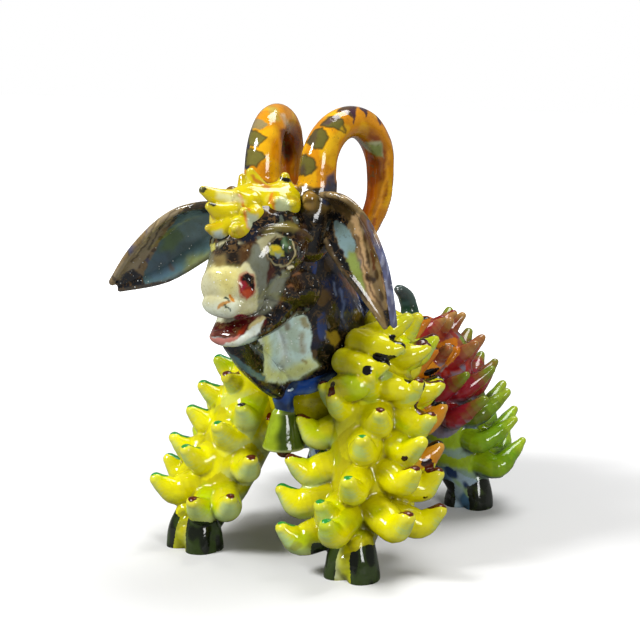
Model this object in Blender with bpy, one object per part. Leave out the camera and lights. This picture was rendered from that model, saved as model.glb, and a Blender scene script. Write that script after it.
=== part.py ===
import bmesh
import bpy
import numpy as np
from math import cos, pi, radians, sin
from mathutils import Matrix, Vector

# Glazed pottery goat, hand-modelled and fired in one piece.
# It faces -Y with +Z up, and its left side is +X. Sizes are in millimetres until the last step.
# The working origin lies on the ground, midway between the two front hooves.

# Stance and trunk
STANCE_HALF = 39.8
WHEELBASE = 116.0
TRUNK_HALF_WIDTH = 28.0
TRUNK_HALF_HEIGHT = 21.0
TRUNK_HEIGHT = 68.0
TRUNK_OVERHANG = 26.0

# Legs and hooves
LEG_TOP_RADIUS = 16.5
LEG_KNEE_RADIUS = 14.0
LEG_ANKLE_RADIUS = 8.0
HOOF_TOE_RADIUS = 6.6
HOOF_HEIGHT = 15.0
SHOULDER_LEAN = 39.0

# Clay tufts of the fleece
TUFT_RADIUS = 6.3
TUFT_TIP_RADIUS = 3.5
SHOULDER_TUFT_RADIUS = 5.4
SHOULDER_TUFT_TIP_RADIUS = 3.2
REAR_TUFT_RADIUS = 5.3
REAR_TUFT_TIP_RADIUS = 2.3
REAR_TUFT_SWEEP = 24.0
TUFT_SPREAD = 37.0
TUFT_SPREAD_RIGHT = 32.6
TUFT_SPREAD_SLOPE = 0.12
TUFT_DROOP = 4.0
TUFT_CURL = 6.0

# Neck, collar and bell
NECK_HALF_WIDTH = 23.0
NECK_HALF_DEPTH = 27.5
COLLAR_THICKNESS = 2.6
COLLAR_HEIGHT = 4.8
BELL_LENGTH = 18.0
BELL_MOUTH_RADIUS = 9.2
BELL_WALL = 3.2
CLAPPER_RADIUS = 3.4

# Head
HEAD_HALF_WIDTH = 20.0
MUZZLE_HALF_WIDTH = 11.4
EYE_RADIUS = 5.6
BROW_RADIUS = 2.2

# Horns
HORN_RADIUS = 6.4
HORN_TIP_RADIUS = 3.6
HORN_ARCH_RADIUS = 20.8
HORN_CENTRE_HEIGHT = 166.0

# Ears
EAR_REACH_RIGHT = 80.0
EAR_REACH_LEFT = 50.0
EAR_HEIGHT = 149.0
EAR_HALF_WIDTH = 13.5
EAR_THICKNESS = 3.4
EAR_CUP = 0.55

# Clay skin that fuses all forms
SKIN_CELL = 1.25
SKIN_TRIANGLES = 11000

for old in list(bpy.data.objects):
    bpy.data.objects.remove(old, do_unlink=True)

clay = bmesh.new()


# Closed solid whose oval rings follow a path, with rounded ends
def add_rope(path, half_widths, half_heights, across=(1.0, 0.0, 0.0), sides=16, loop=False, blunt=1.0):
    points = [Vector(p) for p in path]
    count = len(points)
    rings = []
    for i, point in enumerate(points):
        before = points[i - 1] if (i or loop) else point
        after = points[(i + 1) % count] if (i + 1 < count or loop) else point
        tangent = (after - before).normalized()
        side = Vector(across) - tangent * tangent.dot(Vector(across))
        side.normalize()
        rise = tangent.cross(side)
        stations = [(0.0, 1.0)]
        reach = min(half_widths[i], half_heights[i]) * blunt
        if not loop and i == 0:
            stations = [(-sin(a) * reach, cos(a)) for a in (1.25, 0.8, 0.4, 0.0)]
        if not loop and i == count - 1:
            stations = [(sin(a) * reach, cos(a)) for a in (0.0, 0.4, 0.8, 1.25)]
        for shift, scale in stations:
            ring = []
            for k in range(sides):
                angle = 2.0 * pi * k / sides
                offset = side * (cos(angle) * half_widths[i] * scale)
                offset += rise * (sin(angle) * half_heights[i] * scale)
                ring.append(clay.verts.new(point + tangent * shift + offset))
            rings.append(ring)
    pairs = list(zip(rings, rings[1:]))
    if loop:
        pairs.append((rings[-1], rings[0]))
    for low, high in pairs:
        for k in range(sides):
            nxt = (k + 1) % sides
            clay.faces.new((low[k], low[nxt], high[nxt], high[k]))
    if not loop:
        clay.faces.new(list(reversed(rings[0])))
        clay.faces.new(rings[-1])


# Smooth curve through the given points, with the sizes carried along
def smooth_path(points, sizes, steps=4):
    spots = [np.array(p, float) for p in points]
    values = [np.array(s, float) for s in sizes]
    out_points = []
    out_sizes = []
    last = len(spots) - 1
    for i in range(last):
        for k in range(steps):
            t = k / steps
            for data, out in ((spots, out_points), (values, out_sizes)):
                p0 = data[max(i - 1, 0)]
                p1 = data[i]
                p2 = data[i + 1]
                p3 = data[min(i + 2, last)]
                bend = 2 * p1 + (p2 - p0) * t
                bend = bend + (2 * p0 - 5 * p1 + 4 * p2 - p3) * t * t
                bend = bend + (3 * p1 - p0 - 3 * p2 + p3) * t ** 3
                out.append(bend / 2)
    out_points.append(spots[-1])
    out_sizes.append(values[-1])
    return out_points, out_sizes


def add_form(points, sizes, across=(1.0, 0.0, 0.0), steps=4, sides=20, blunt=1.0):
    path, radii = smooth_path(points, sizes, steps)
    add_rope(path, [r[0] for r in radii], [r[1] for r in radii], across, sides, blunt=blunt)


# Trunk
rump_y = WHEELBASE + TRUNK_OVERHANG
add_form(
    [
        (0, 42, TRUNK_HEIGHT - 1),
        (0, 56, TRUNK_HEIGHT + 1),
        (0, 80, TRUNK_HEIGHT),
        (0, WHEELBASE - 6, TRUNK_HEIGHT - 1),
        (0, rump_y - 14, TRUNK_HEIGHT - 2),
    ],
    [
        (TRUNK_HALF_WIDTH * 0.8, TRUNK_HALF_HEIGHT * 0.9),
        (TRUNK_HALF_WIDTH * 0.95, TRUNK_HALF_HEIGHT),
        (TRUNK_HALF_WIDTH, TRUNK_HALF_HEIGHT),
        (TRUNK_HALF_WIDTH, TRUNK_HALF_HEIGHT),
        (TRUNK_HALF_WIDTH * 0.72, TRUNK_HALF_HEIGHT * 0.84),
    ],
    sides=28,
)

# Tail, upright and curled forward
add_form(
    [
        (0, rump_y - 12, TRUNK_HEIGHT + 12),
        (0, rump_y - 6, TRUNK_HEIGHT + 19),
        (0, rump_y - 8, TRUNK_HEIGHT + 27),
        (0, rump_y - 14, TRUNK_HEIGHT + 33),
    ],
    [(8, 7), (6.5, 5.5), (5.5, 4.5), (3.8, 3.2)],
)

# Neck, leaning forward from the shoulders to the skull
add_form(
    [(0, 52, 74), (0, 38, 89), (0, 29, 104), (0, 20, 120), (0, 12, 134)],
    [
        (NECK_HALF_WIDTH * 1.2, NECK_HALF_DEPTH * 1.1),
        (NECK_HALF_WIDTH * 1.07, NECK_HALF_DEPTH * 1.06),
        (NECK_HALF_WIDTH, NECK_HALF_DEPTH * 0.96),
        (NECK_HALF_WIDTH * 0.9, NECK_HALF_DEPTH * 0.85),
        (NECK_HALF_WIDTH * 0.84, NECK_HALF_DEPTH * 0.74),
    ],
    sides=28,
)

# Collar strap round the neck, low at the front, with its knot
strap = []
for step in range(48):
    angle = 2.0 * pi * step / 48
    strap.append(
        (
            (NECK_HALF_WIDTH * 1.07 + 1.6) * sin(angle),
            37.5 - (NECK_HALF_DEPTH * 0.88) * cos(angle),
            89.5 - (NECK_HALF_DEPTH * 0.68) * cos(angle),
        )
    )
add_rope(
    strap,
    [COLLAR_HEIGHT / 2] * 48,
    [COLLAR_THICKNESS] * 48,
    across=(0.0, -0.61, 0.79),
    sides=10,
    loop=True,
)
add_form([(0, 11, 71), (0.5, 11.5, 64)], [(5.0, 4.0), (4.2, 3.8)], steps=2, sides=14)

# Brisket behind the bell
add_form([(0, 34, 76), (0, 31, 66), (0, 33, 56)], [(18, 14), (18, 14), (15, 12)], steps=3, sides=20)

# Bell below the knot, open at its mouth, with its clapper
bell_top = 66.0
bell_y = 11.5
bell_foot = bell_top - BELL_LENGTH
profile = [
    (3.0, bell_top + 0.8),
    (5.0, bell_top - BELL_LENGTH * 0.12),
    (BELL_MOUTH_RADIUS * 0.74, bell_top - BELL_LENGTH * 0.45),
    (BELL_MOUTH_RADIUS * 0.9, bell_top - BELL_LENGTH * 0.8),
    (BELL_MOUTH_RADIUS, bell_foot),
    (BELL_MOUTH_RADIUS - BELL_WALL, bell_foot + 0.2),
    (BELL_MOUTH_RADIUS - BELL_WALL - 1.0, bell_foot + BELL_LENGTH * 0.24),
]
bell_rings = []
for radius, height in profile:
    ring = []
    for k in range(24):
        angle = 2.0 * pi * k / 24
        ring.append(clay.verts.new((radius * cos(angle), bell_y + radius * sin(angle), height)))
    bell_rings.append(ring)
for upper, lower in zip(bell_rings, bell_rings[1:]):
    for k in range(24):
        nxt = (k + 1) % 24
        clay.faces.new((upper[k], lower[k], lower[nxt], upper[nxt]))
clay.faces.new(bell_rings[0])
clay.faces.new(list(reversed(bell_rings[-1])))
add_form(
    [(0, bell_y, bell_foot + 8), (0, bell_y, bell_foot - 1)],
    [(CLAPPER_RADIUS * 0.8, CLAPPER_RADIUS * 0.8), (CLAPPER_RADIUS, CLAPPER_RADIUS)],
    steps=3,
    sides=14,
)

# Skull and upper muzzle, blunt in front
add_form(
    [
        (0, 14, 145),
        (0, 8, 144.5),
        (0, -4, 140.5),
        (0, -13, 134),
        (0, -20, 129),
        (0, -27, 124.8),
        (0, -32.5, 122.3),
    ],
    [
        (HEAD_HALF_WIDTH * 0.7, 12),
        (HEAD_HALF_WIDTH * 0.9, 16),
        (HEAD_HALF_WIDTH, 18.5),
        (HEAD_HALF_WIDTH * 0.91, 17.5),
        (HEAD_HALF_WIDTH * 0.76, 15.2),
        (MUZZLE_HALF_WIDTH * 1.12, 12.8),
        (MUZZLE_HALF_WIDTH, 11.2),
    ],
    sides=28,
    blunt=0.42,
)

# Upper lip, jutting a little beyond the muzzle
add_form(
    [(0, -22, 118.5), (0, -31, 117.8), (0, -35, 117)],
    [(MUZZLE_HALF_WIDTH, 7.5), (MUZZLE_HALF_WIDTH * 0.95, 6.4), (MUZZLE_HALF_WIDTH * 0.86, 5.2)],
    sides=20,
    blunt=0.55,
)

# Lower jaw, dropped in front to leave the mouth open
add_form(
    [(0, -2, 116), (0, -12, 110.5), (0, -21, 106.5), (0, -29, 103.8), (0, -32.5, 103.4)],
    [
        (MUZZLE_HALF_WIDTH * 1.4, 13),
        (MUZZLE_HALF_WIDTH * 1.28, 10),
        (MUZZLE_HALF_WIDTH * 1.09, 6.6),
        (MUZZLE_HALF_WIDTH * 0.86, 4.2),
        (MUZZLE_HALF_WIDTH * 0.72, 3.4),
    ],
    sides=24,
    blunt=0.7,
)

# Cheeks, which close the mouth behind its corners
add_form(
    [(0, -17.5, 113), (0, -8, 114), (0, 2, 116)],
    [(MUZZLE_HALF_WIDTH * 1.12, 7.5), (MUZZLE_HALF_WIDTH * 1.3, 9.5), (MUZZLE_HALF_WIDTH * 1.3, 10)],
    sides=24,
    blunt=0.3,
)

# Throat, where the cheeks run into the neck
add_form(
    [(0, -14, 124), (0, -4, 121), (0, 8, 119)],
    [(HEAD_HALF_WIDTH * 0.81, 9), (HEAD_HALF_WIDTH * 0.94, 13), (HEAD_HALF_WIDTH, 15)],
    sides=24,
)

# Beard, a fin from the chin down to the collar that also meets the throat
for up in (0.0, 10.0):
    add_form(
        [(0, -27 + up, 101), (0, -17 + up, 93 + up * 0.8), (0, -6 + up, 85 + up), (0, 4 + up, 78 + up), (0, 14, 74 + up)],
        [(5, 4.5), (4.8, 6.5), (4.4, 7), (4, 6.5), (4, 6)],
    )

# Eyes and brows, the same on both sides
for flip in (-1.0, 1.0):
    add_form(
        [(flip * 12.5, -8.5, 136.5), (flip * 15.4, -11.2, 138.2)],
        [(EYE_RADIUS, EYE_RADIUS), (EYE_RADIUS, EYE_RADIUS)],
        across=(0.0, 0.0, 1.0),
        steps=2,
        sides=18,
    )
    add_form(
        [(flip * 9, -21.5, 145.5), (flip * 13, -17.5, 147), (flip * 18.5, -8, 145.5), (flip * 20.3, 0, 141.5)],
        [(BROW_RADIUS, BROW_RADIUS)] * 4,
        across=(0.0, 0.0, 1.0),
        sides=12,
    )

# Horns, each an arch carried back from the crown, then down behind the ear
for flip, base_x, base_y, splay in ((1.0, 16.5, 12.0, radians(11.0)), (-1.0, 11.3, 14.0, radians(15.0))):
    spine = [(0.0, -17.0), (0.0, -8.0)]
    for step in range(9):
        angle = pi * step / 8
        spine.append((HORN_ARCH_RADIUS * (1.0 - cos(angle)), HORN_ARCH_RADIUS * sin(angle)))
    spine += [(2.0 * HORN_ARCH_RADIUS - 1.0, -13.0), (38.0, -24.0), (32.0, -34.0), (25.0, -41.0)]
    points = []
    sizes = []
    for step, (along, rise) in enumerate(spine):
        tuck = max(0.0, -rise - 13.0) * 0.25 * (step > 2)
        x = base_x + along * sin(splay) - tuck
        y = base_y + along * cos(splay)
        points.append((flip * x, y, HORN_CENTRE_HEIGHT + rise))
        share = step / (len(spine) - 1)
        radius = HORN_RADIUS * (1.32 - 0.27 * min(share * 2.4, 1.0))
        radius += (HORN_TIP_RADIUS - HORN_RADIUS) * max(0.0, (share - 0.6) / 0.4)
        sizes.append((radius, radius))
    add_form(points, sizes, steps=3, sides=16)

# Mounds and rolled clay knobs round the horn roots
for flip, base_x, base_y in ((1.0, 16.5, 12.0), (-1.0, 11.3, 14.0)):
    add_form(
        [
            (flip * (base_x - 2), base_y - 6, HORN_CENTRE_HEIGHT - 29),
            (flip * (base_x - 2), base_y - 5, HORN_CENTRE_HEIGHT - 20),
            (flip * (base_x - 1), base_y - 2, HORN_CENTRE_HEIGHT - 12),
            (flip * base_x, base_y, HORN_CENTRE_HEIGHT - 4),
        ],
        [(11, 12), (11.5, 11), (10.2, 9.6), (8.4, 8.2)],
    )
    for x, y, z, radius in ((19, 2, 156, 3.2), (23, 11, 154, 3.4), (11, 3, 158, 3.2), (22, 18, 152, 3.6)):
        add_form(
            [(flip * x, y, z - 1.5), (flip * x, y, z + 1.5)],
            [(radius, radius), (radius, radius)],
            steps=1,
            sides=14,
        )


# Cupped ear leaf between two faces, wide in the middle and pointed at the tip
def add_ear(spine, inward, shares, steps=14, across=8):
    path, widths = smooth_path(spine, [(s, s) for s in shares], steps // (len(spine) - 1) + 1)
    count = len(path)
    faces = []
    for side in (0.5, -0.5):
        rows = []
        for i, point in enumerate(path):
            before = path[max(i - 1, 0)]
            after = path[min(i + 1, count - 1)]
            tangent = Vector(after - before).normalized()
            open_way = Vector(inward) - tangent * tangent.dot(Vector(inward))
            open_way.normalize()
            wide_way = tangent.cross(open_way)
            half = EAR_HALF_WIDTH * widths[i][0]
            row = []
            for k in range(across + 1):
                v = 2.0 * k / across - 1.0
                bend = v * 1.25 * EAR_CUP / 0.55
                lift = half * EAR_CUP * (v * v)
                normal = (open_way - wide_way * (2.0 * EAR_CUP * v)).normalized()
                spot = Vector(point) + wide_way * (half * v * (1.0 - 0.08 * bend * bend)) + open_way * lift
                row.append(clay.verts.new(spot + normal * (side * EAR_THICKNESS)))
            rows.append(row)
        faces.append(rows)
    inner, outer = faces
    for i in range(count - 1):
        for k in range(across):
            clay.faces.new((inner[i][k], inner[i][k + 1], inner[i + 1][k + 1], inner[i + 1][k]))
            clay.faces.new((outer[i][k], outer[i + 1][k], outer[i + 1][k + 1], outer[i][k + 1]))
        clay.faces.new((inner[i][0], inner[i + 1][0], outer[i + 1][0], outer[i][0]))
        clay.faces.new((inner[i][across], outer[i][across], outer[i + 1][across], inner[i + 1][across]))
    for k in range(across):
        clay.faces.new((inner[0][k], outer[0][k], outer[0][k + 1], inner[0][k + 1]))
        clay.faces.new((inner[-1][k], inner[-1][k + 1], outer[-1][k + 1], outer[-1][k]))


# Right ear held out, left ear hanging
add_ear(
    [
        (EAR_REACH_RIGHT * -0.175, 2, EAR_HEIGHT),
        (EAR_REACH_RIGHT * -0.41, -2, EAR_HEIGHT - 5),
        (EAR_REACH_RIGHT * -0.7, -1, EAR_HEIGHT - 20),
        (-EAR_REACH_RIGHT, 2, EAR_HEIGHT - 35),
    ],
    (0.25, -1.0, -0.45),
    [0.62, 1.0, 0.85, 0.2],
)
add_ear(
    [
        (EAR_REACH_LEFT * 0.32, 12, EAR_HEIGHT + 1),
        (EAR_REACH_LEFT * 0.6, 12, EAR_HEIGHT - 2),
        (EAR_REACH_LEFT * 0.8, 12, EAR_HEIGHT - 19),
        (EAR_REACH_LEFT, 14, EAR_HEIGHT - 43),
    ],
    (-0.12, -1.0, -0.1),
    [0.66, 1.08, 0.95, 0.2],
)

# Legs and cloven hooves
legs = {}
for name, flip, foot_y, hip, turn in (
    ("front_left", 1.0, 0.0, (30.0, SHOULDER_LEAN, 84.0), 0.0),
    ("front_right", -1.0, 0.0, (24.0, SHOULDER_LEAN + 2.0, 78.0), radians(-14.0)),
    ("rear_left", 1.0, WHEELBASE, (24.0, WHEELBASE - 6.0, 72.0), 0.0),
    ("rear_right", -1.0, WHEELBASE, (24.0, WHEELBASE - 6.0, 72.0), 0.0),
):
    foot = Vector((flip * STANCE_HALF, foot_y, 0.0))
    top = Vector((flip * hip[0], hip[1], hip[2]))
    add_form(
        [top, foot.lerp(top, 0.66), foot.lerp(top, 0.36), foot.lerp(top, 0.17), foot + Vector((0, 0, 7))],
        [
            (LEG_TOP_RADIUS, LEG_TOP_RADIUS),
            (LEG_TOP_RADIUS * 0.92, LEG_TOP_RADIUS * 0.92),
            (LEG_KNEE_RADIUS, LEG_KNEE_RADIUS),
            (LEG_ANKLE_RADIUS, LEG_ANKLE_RADIUS),
            (LEG_ANKLE_RADIUS, LEG_ANKLE_RADIUS),
        ],
        sides=20,
    )
    side = Vector((cos(turn), sin(turn), 0.0))
    ahead = Vector((sin(turn), -cos(turn), 0.0))
    for toe in (-1.0, 1.0):
        add_form(
            [
                foot + side * (toe * HOOF_TOE_RADIUS * 0.55) - ahead * 2.0 + Vector((0, 0, HOOF_HEIGHT)),
                foot + side * (toe * HOOF_TOE_RADIUS * 0.74) - ahead + Vector((0, 0, HOOF_HEIGHT * 0.53)),
                foot + side * (toe * HOOF_TOE_RADIUS * 0.85) - ahead * 0.6 + Vector((0, 0, 1.0)),
                foot + side * (toe * HOOF_TOE_RADIUS * 0.85) - ahead * 0.6 - Vector((0, 0, 3.0)),
            ],
            [
                (HOOF_TOE_RADIUS * 0.82, HOOF_TOE_RADIUS),
                (HOOF_TOE_RADIUS * 0.92, HOOF_TOE_RADIUS * 1.2),
                (HOOF_TOE_RADIUS, HOOF_TOE_RADIUS * 1.3),
                (HOOF_TOE_RADIUS * 0.94, HOOF_TOE_RADIUS * 1.24),
            ],
            across=side,
            sides=16,
        )
    legs[name] = (foot, top)


# One tuft, from its thick root to its blunt tip, which curls up
def add_tuft(start, mid, tip, radius, tip_radius):
    way = (tip - start).normalized()
    neck = radius * 0.5 + tip_radius * 0.5
    add_form(
        [start, start.lerp(mid, 0.55), mid, mid.lerp(tip, 0.6) - Vector((0, 0, 0.5)), tip],
        [
            (radius * 1.15, radius * 1.1),
            (radius * 1.15, radius * 1.12),
            (radius * 1.04, radius),
            (neck, neck * 0.95),
            (tip_radius, tip_radius * 0.86),
        ],
        across=(way.y, -way.x, 0.0),
        steps=2,
        sides=12,
    )


# A tuft on a leg: direction of its tip in degrees from straight ahead, counted outwards, height of
# the tip, and its distance from the leg's middle line; sweep turns the tip further back
def add_leg_tuft(leg, degrees, height, spread, radius, tip_radius, length=1.0, curl=1.0, sweep=0.0):
    foot, top = legs[leg]
    outward = 1.0 if foot.x > 0 else -1.0
    centre = foot.lerp(top, height / top.z)
    angle = radians(degrees)
    way = Vector((outward * sin(angle), -cos(angle), 0.0))
    swept = angle + radians(sweep)
    tip = centre + Vector((outward * sin(swept), -cos(swept), 0.0)) * (spread - TUFT_TIP_RADIUS)
    tip.z = height
    mid = centre + way * (spread - 11.0 * length)
    mid.z = height - TUFT_CURL * curl
    start = centre + way * max(spread - 27.0 * length, 0.0)
    start.z = height - TUFT_CURL * curl + TUFT_DROOP
    add_tuft(start, mid, tip, radius, tip_radius)


# Fleece of the front legs, from the pasterns to the shoulders: direction and height of each tuft
for leg, spread, tufts in (
    (
        "front_left",
        TUFT_SPREAD,
        (
            ((-45, 21), (4, 28), (63, 30), (116, 26), (165, 24)),
            ((-62, 33), (17, 44), (69, 46), (116, 40), (160, 40)),
            ((-52, 46), (23, 59), (73, 57), (118, 50), (165, 55)),
            ((-62, 60), (36, 69), (88, 65), (124, 65), (172, 70)),
            ((-30, 76), (21, 83), (69, 79), (116, 76), (160, 84)),
            ((84, 93), (130, 92), (105, 102), (155, 98)),
        ),
    ),
    (
        "front_right",
        TUFT_SPREAD_RIGHT,
        (
            ((-40, 27), (-10, 25), (45, 30), (78, 34), (125, 28), (165, 30)),
            ((-47, 42), (24, 44), (61, 45), (108, 44), (155, 46)),
            ((-2, 55), (58, 57), (104, 58), (152, 62)),
            ((-17, 63), (61, 67), (110, 70), (18, 74)),
            ((61, 78), (105, 82), (155, 78), (38, 87), (85, 91)),
        ),
    ),
):
    for row in tufts:
        for degrees, height in row:
            reach = spread - TUFT_SPREAD_SLOPE * max(0.0, height - 27.0)
            add_leg_tuft(leg, degrees, height, reach, TUFT_RADIUS, TUFT_TIP_RADIUS)

# Tufts of the left shoulder, swept back along it: root, middle and tip of each
for root, mid, tip in (
    ((29, 32, 95), (41, 30, 100), (47, 35, 105)),
    ((29, 25, 95), (42, 23, 94), (48, 26, 94)),
    ((34, 36, 88), (47, 35, 89), (54, 39, 92)),
    ((26, 15, 76), (36, 12, 79), (40, 15, 83)),
    ((35, 25, 79), (48, 24, 77), (55, 27, 77)),
    ((39, 39, 71), (53, 38, 73), (59, 42, 76)),
    ((41, 31, 66), (54, 29, 63), (60, 33, 63)),
    ((26, 19, 87), (38, 16, 86), (44, 20, 87)),
):
    add_tuft(Vector(root), Vector(mid), Vector(tip), SHOULDER_TUFT_RADIUS, SHOULDER_TUFT_TIP_RADIUS)

# Fleece of the rump, longer and swept back
for leg in ("rear_left", "rear_right"):
    for height, share, directions in (
        (32, 1.0, (92, 128, 164)),
        (45, 0.97, (72, 106, 142, 176)),
        (57, 0.93, (42, 78, 114, 150)),
        (69, 0.87, (30, 66, 100, 136, 172)),
        (81, 0.74, (20, 60, 98, 136, 174)),
        (92, 0.56, (40, 90, 140)),
    ):
        for degrees in directions:
            add_leg_tuft(
                leg,
                degrees,
                height,
                TUFT_SPREAD * share,
                REAR_TUFT_RADIUS,
                REAR_TUFT_TIP_RADIUS,
                length=1.3,
                curl=1.7,
                sweep=REAR_TUFT_SWEEP,
            )

# Fleece of the flanks, swept back between the shoulders and the rump
for flip in (-1.0, 1.0):
    for y, z, reach in (
        (58, 92, 20),
        (74, 90, 20),
        (92, 90, 18),
        (62, 77, 22),
        (80, 75, 22),
        (70, 63, 20),
        (97, 74, 20),
        (90, 60, 18),
    ):
        root = Vector((flip * TRUNK_HALF_WIDTH * 0.68, y, z - 3.0))
        way = Vector((flip * 0.66, 0.75, 0.0))
        tip = root + way * reach * 1.25 + Vector((0, 0, TUFT_CURL * 1.17))
        add_tuft(root, root + way * (reach * 0.7), tip, REAR_TUFT_RADIUS, REAR_TUFT_TIP_RADIUS)

# Forelock, a pad of clay with a crown of pinched tufts between the horns and the eyes
add_form(
    [(-7, -20, 147), (-3, -14, 152), (4, -6, 156), (7, 2, 158)],
    [(9, 6), (11, 6), (10, 6), (8, 6)],
    across=(0.8, 0.6, 0.0),
)
for root, tip in (
    ((-6, -14, 156), (-16, -24, 161.5)),
    ((-5, -19, 152), (-11, -27, 155.5)),
    ((0, -5, 158), (-4, -7, 168)),
    ((6, 2, 159), (7, 2, 166)),
    ((0, -13, 156), (-3, -19, 160)),
    ((3, -16, 151), (3, -23, 154)),
    ((9, -6, 155), (11, -12, 157.5)),
    ((-5, -22, 147), (-10, -29, 147)),
    ((1, -22, 147), (2, -28, 147.5)),
    ((11, -2, 155), (15, -6, 156)),
    ((-7, -3, 157), (-11, -2, 165)),
):
    add_form(
        [root, Vector(root).lerp(Vector(tip), 0.5) + Vector((0, 0, -1.0)), tip],
        [(5.4, 5.4), (4.3, 4.0), (2.0, 1.8)],
        across=(0.8, 0.6, 0.0),
        steps=3,
        sides=12,
    )

# One fused skin over all forms
forms = bpy.data.meshes.new("forms")
clay.normal_update()
clay.to_mesh(forms)
clay.free()
maker = bpy.data.objects.new("forms", forms)
bpy.context.scene.collection.objects.link(maker)
remesh = maker.modifiers.new("fuse", "REMESH")
remesh.mode = "VOXEL"
remesh.voxel_size = SKIN_CELL
remesh.adaptivity = 0.0
smooth = maker.modifiers.new("soften", "SMOOTH")
smooth.factor = 0.5
smooth.iterations = 3
depsgraph = bpy.context.evaluated_depsgraph_get()
fused = bpy.data.meshes.new_from_object(maker.evaluated_get(depsgraph))
bpy.data.objects.remove(maker, do_unlink=True)

# Only the outer skin is kept, without the small pockets enclosed between tufts
skin = bmesh.new()
skin.from_mesh(fused)
skin.verts.ensure_lookup_table()
seen = set()
shells = []
for seed in skin.verts:
    if seed.index in seen:
        continue
    shell = []
    queue = [seed]
    seen.add(seed.index)
    while queue:
        vert = queue.pop()
        shell.append(vert)
        for edge in vert.link_edges:
            other = edge.other_vert(vert)
            if other.index not in seen:
                seen.add(other.index)
                queue.append(other)
    shells.append(shell)
shells.sort(key=len)
for shell in shells[:-1]:
    bmesh.ops.delete(skin, geom=shell, context="VERTS")
bmesh.ops.triangulate(skin, faces=skin.faces[:])
skin.to_mesh(fused)
face_count = len(skin.faces)
skin.free()

worker = bpy.data.objects.new("worker", fused)
bpy.context.scene.collection.objects.link(worker)
thin = worker.modifiers.new("thin", "DECIMATE")
thin.ratio = min(1.0, SKIN_TRIANGLES / face_count)
depsgraph = bpy.context.evaluated_depsgraph_get()
final = bpy.data.meshes.new_from_object(worker.evaluated_get(depsgraph))
bpy.data.objects.remove(worker, do_unlink=True)

# Flat soles at the ground, then metres, with the origin under the middle of the outer box
skin = bmesh.new()
skin.from_mesh(final)
cut = bmesh.ops.bisect_plane(
    skin,
    geom=skin.verts[:] + skin.edges[:] + skin.faces[:],
    dist=0.0001,
    plane_co=(0, 0, 0),
    plane_no=(0, 0, 1),
    clear_inner=True,
)
rim = [item for item in cut["geom_cut"] if isinstance(item, bmesh.types.BMEdge)]
bmesh.ops.holes_fill(skin, edges=rim)
bmesh.ops.triangulate(skin, faces=skin.faces[:])
low = [min(v.co[i] for v in skin.verts) for i in range(3)]
high = [max(v.co[i] for v in skin.verts) for i in range(3)]
centre = Vector(((low[0] + high[0]) / 2, (low[1] + high[1]) / 2, low[2]))
bmesh.ops.transform(skin, matrix=Matrix.Scale(0.001, 4) @ Matrix.Translation(-centre), verts=skin.verts[:])
print("box", [round(v, 1) for v in low], [round(v, 1) for v in high], "shift", [round(v, 2) for v in centre])
print("faces", len(skin.faces), "shells", len(shells))
skin.to_mesh(final)
skin.free()

goat = bpy.data.objects.new("goat_figurine", final)
bpy.context.scene.collection.objects.link(goat)
final.shade_smooth()
glaze = bpy.data.materials.new("yellow_glazed_pottery")
glaze.use_nodes = True
shader = glaze.node_tree.nodes["Principled BSDF"]
shader.inputs["Base Color"].default_value = (0.84, 0.66, 0.05, 1.0)
shader.inputs["Roughness"].default_value = 0.18
shader.inputs["Metallic"].default_value = 0.0
final.materials.clear()
final.materials.append(glaze)
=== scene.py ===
from math import cos, pi, radians, sin

import bpy
import numpy as np
from mathutils import Matrix


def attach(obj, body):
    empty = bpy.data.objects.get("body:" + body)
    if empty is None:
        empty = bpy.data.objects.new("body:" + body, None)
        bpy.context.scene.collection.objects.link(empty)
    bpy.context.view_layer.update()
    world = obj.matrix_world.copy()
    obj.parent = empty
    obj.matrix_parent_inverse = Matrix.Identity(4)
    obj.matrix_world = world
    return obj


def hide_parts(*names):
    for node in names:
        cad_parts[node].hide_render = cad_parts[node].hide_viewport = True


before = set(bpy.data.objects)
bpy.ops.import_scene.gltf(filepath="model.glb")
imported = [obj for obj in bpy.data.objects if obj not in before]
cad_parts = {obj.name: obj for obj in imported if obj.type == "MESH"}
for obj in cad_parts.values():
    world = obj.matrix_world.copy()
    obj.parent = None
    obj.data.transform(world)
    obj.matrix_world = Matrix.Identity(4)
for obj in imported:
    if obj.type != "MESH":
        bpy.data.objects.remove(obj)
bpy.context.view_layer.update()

# Trunk and tail
# The barrel of the goat and its upright tail: soft clay rolled to shape, dipped in a pale blue-white
# glaze and washed with dark blue along the back. All sizes are in millimetres from a point on the
# ground between the front hooves; FEET_SHIFT brings them to the middle of the whole figurine.
FEET_SHIFT = (5.9, -54.71, 0.0)
NO_STROKE = -9.0  # stroke depth of a corner that no stroke covers


def unit(v):
    """Every row of v divided by its own length."""
    return v / np.maximum(np.linalg.norm(v, axis=-1, keepdims=True), 1e-9)


def bend(rows, steps):
    """Smooth curve through all rows: between rows p1 and p2, with p0 and p3 beyond them, each new row is
    half of 2 p1 + (p2 - p0) t + (2 p0 - 5 p1 + 4 p2 - p3) t^2 + (3 p1 - p0 - 3 p2 + p3) t^3."""
    rows = np.asarray(rows, float)
    padded = np.vstack([rows[:1], rows, rows[-1:]])
    p0, p1, p2, p3 = padded[:-3, None], padded[1:-2, None], padded[2:-1, None], padded[3:, None]
    t = (np.arange(steps) / steps)[None, :, None]
    spans = 2 * p1 + (p2 - p0) * t + (2 * p0 - 5 * p1 + 4 * p2 - p3) * t**2
    spans = (spans + (3 * p1 - p0 - 3 * p2 + p3) * t**3) / 2
    return np.vstack([spans.reshape(-1, rows.shape[1]), rows[-1:]])


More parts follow.
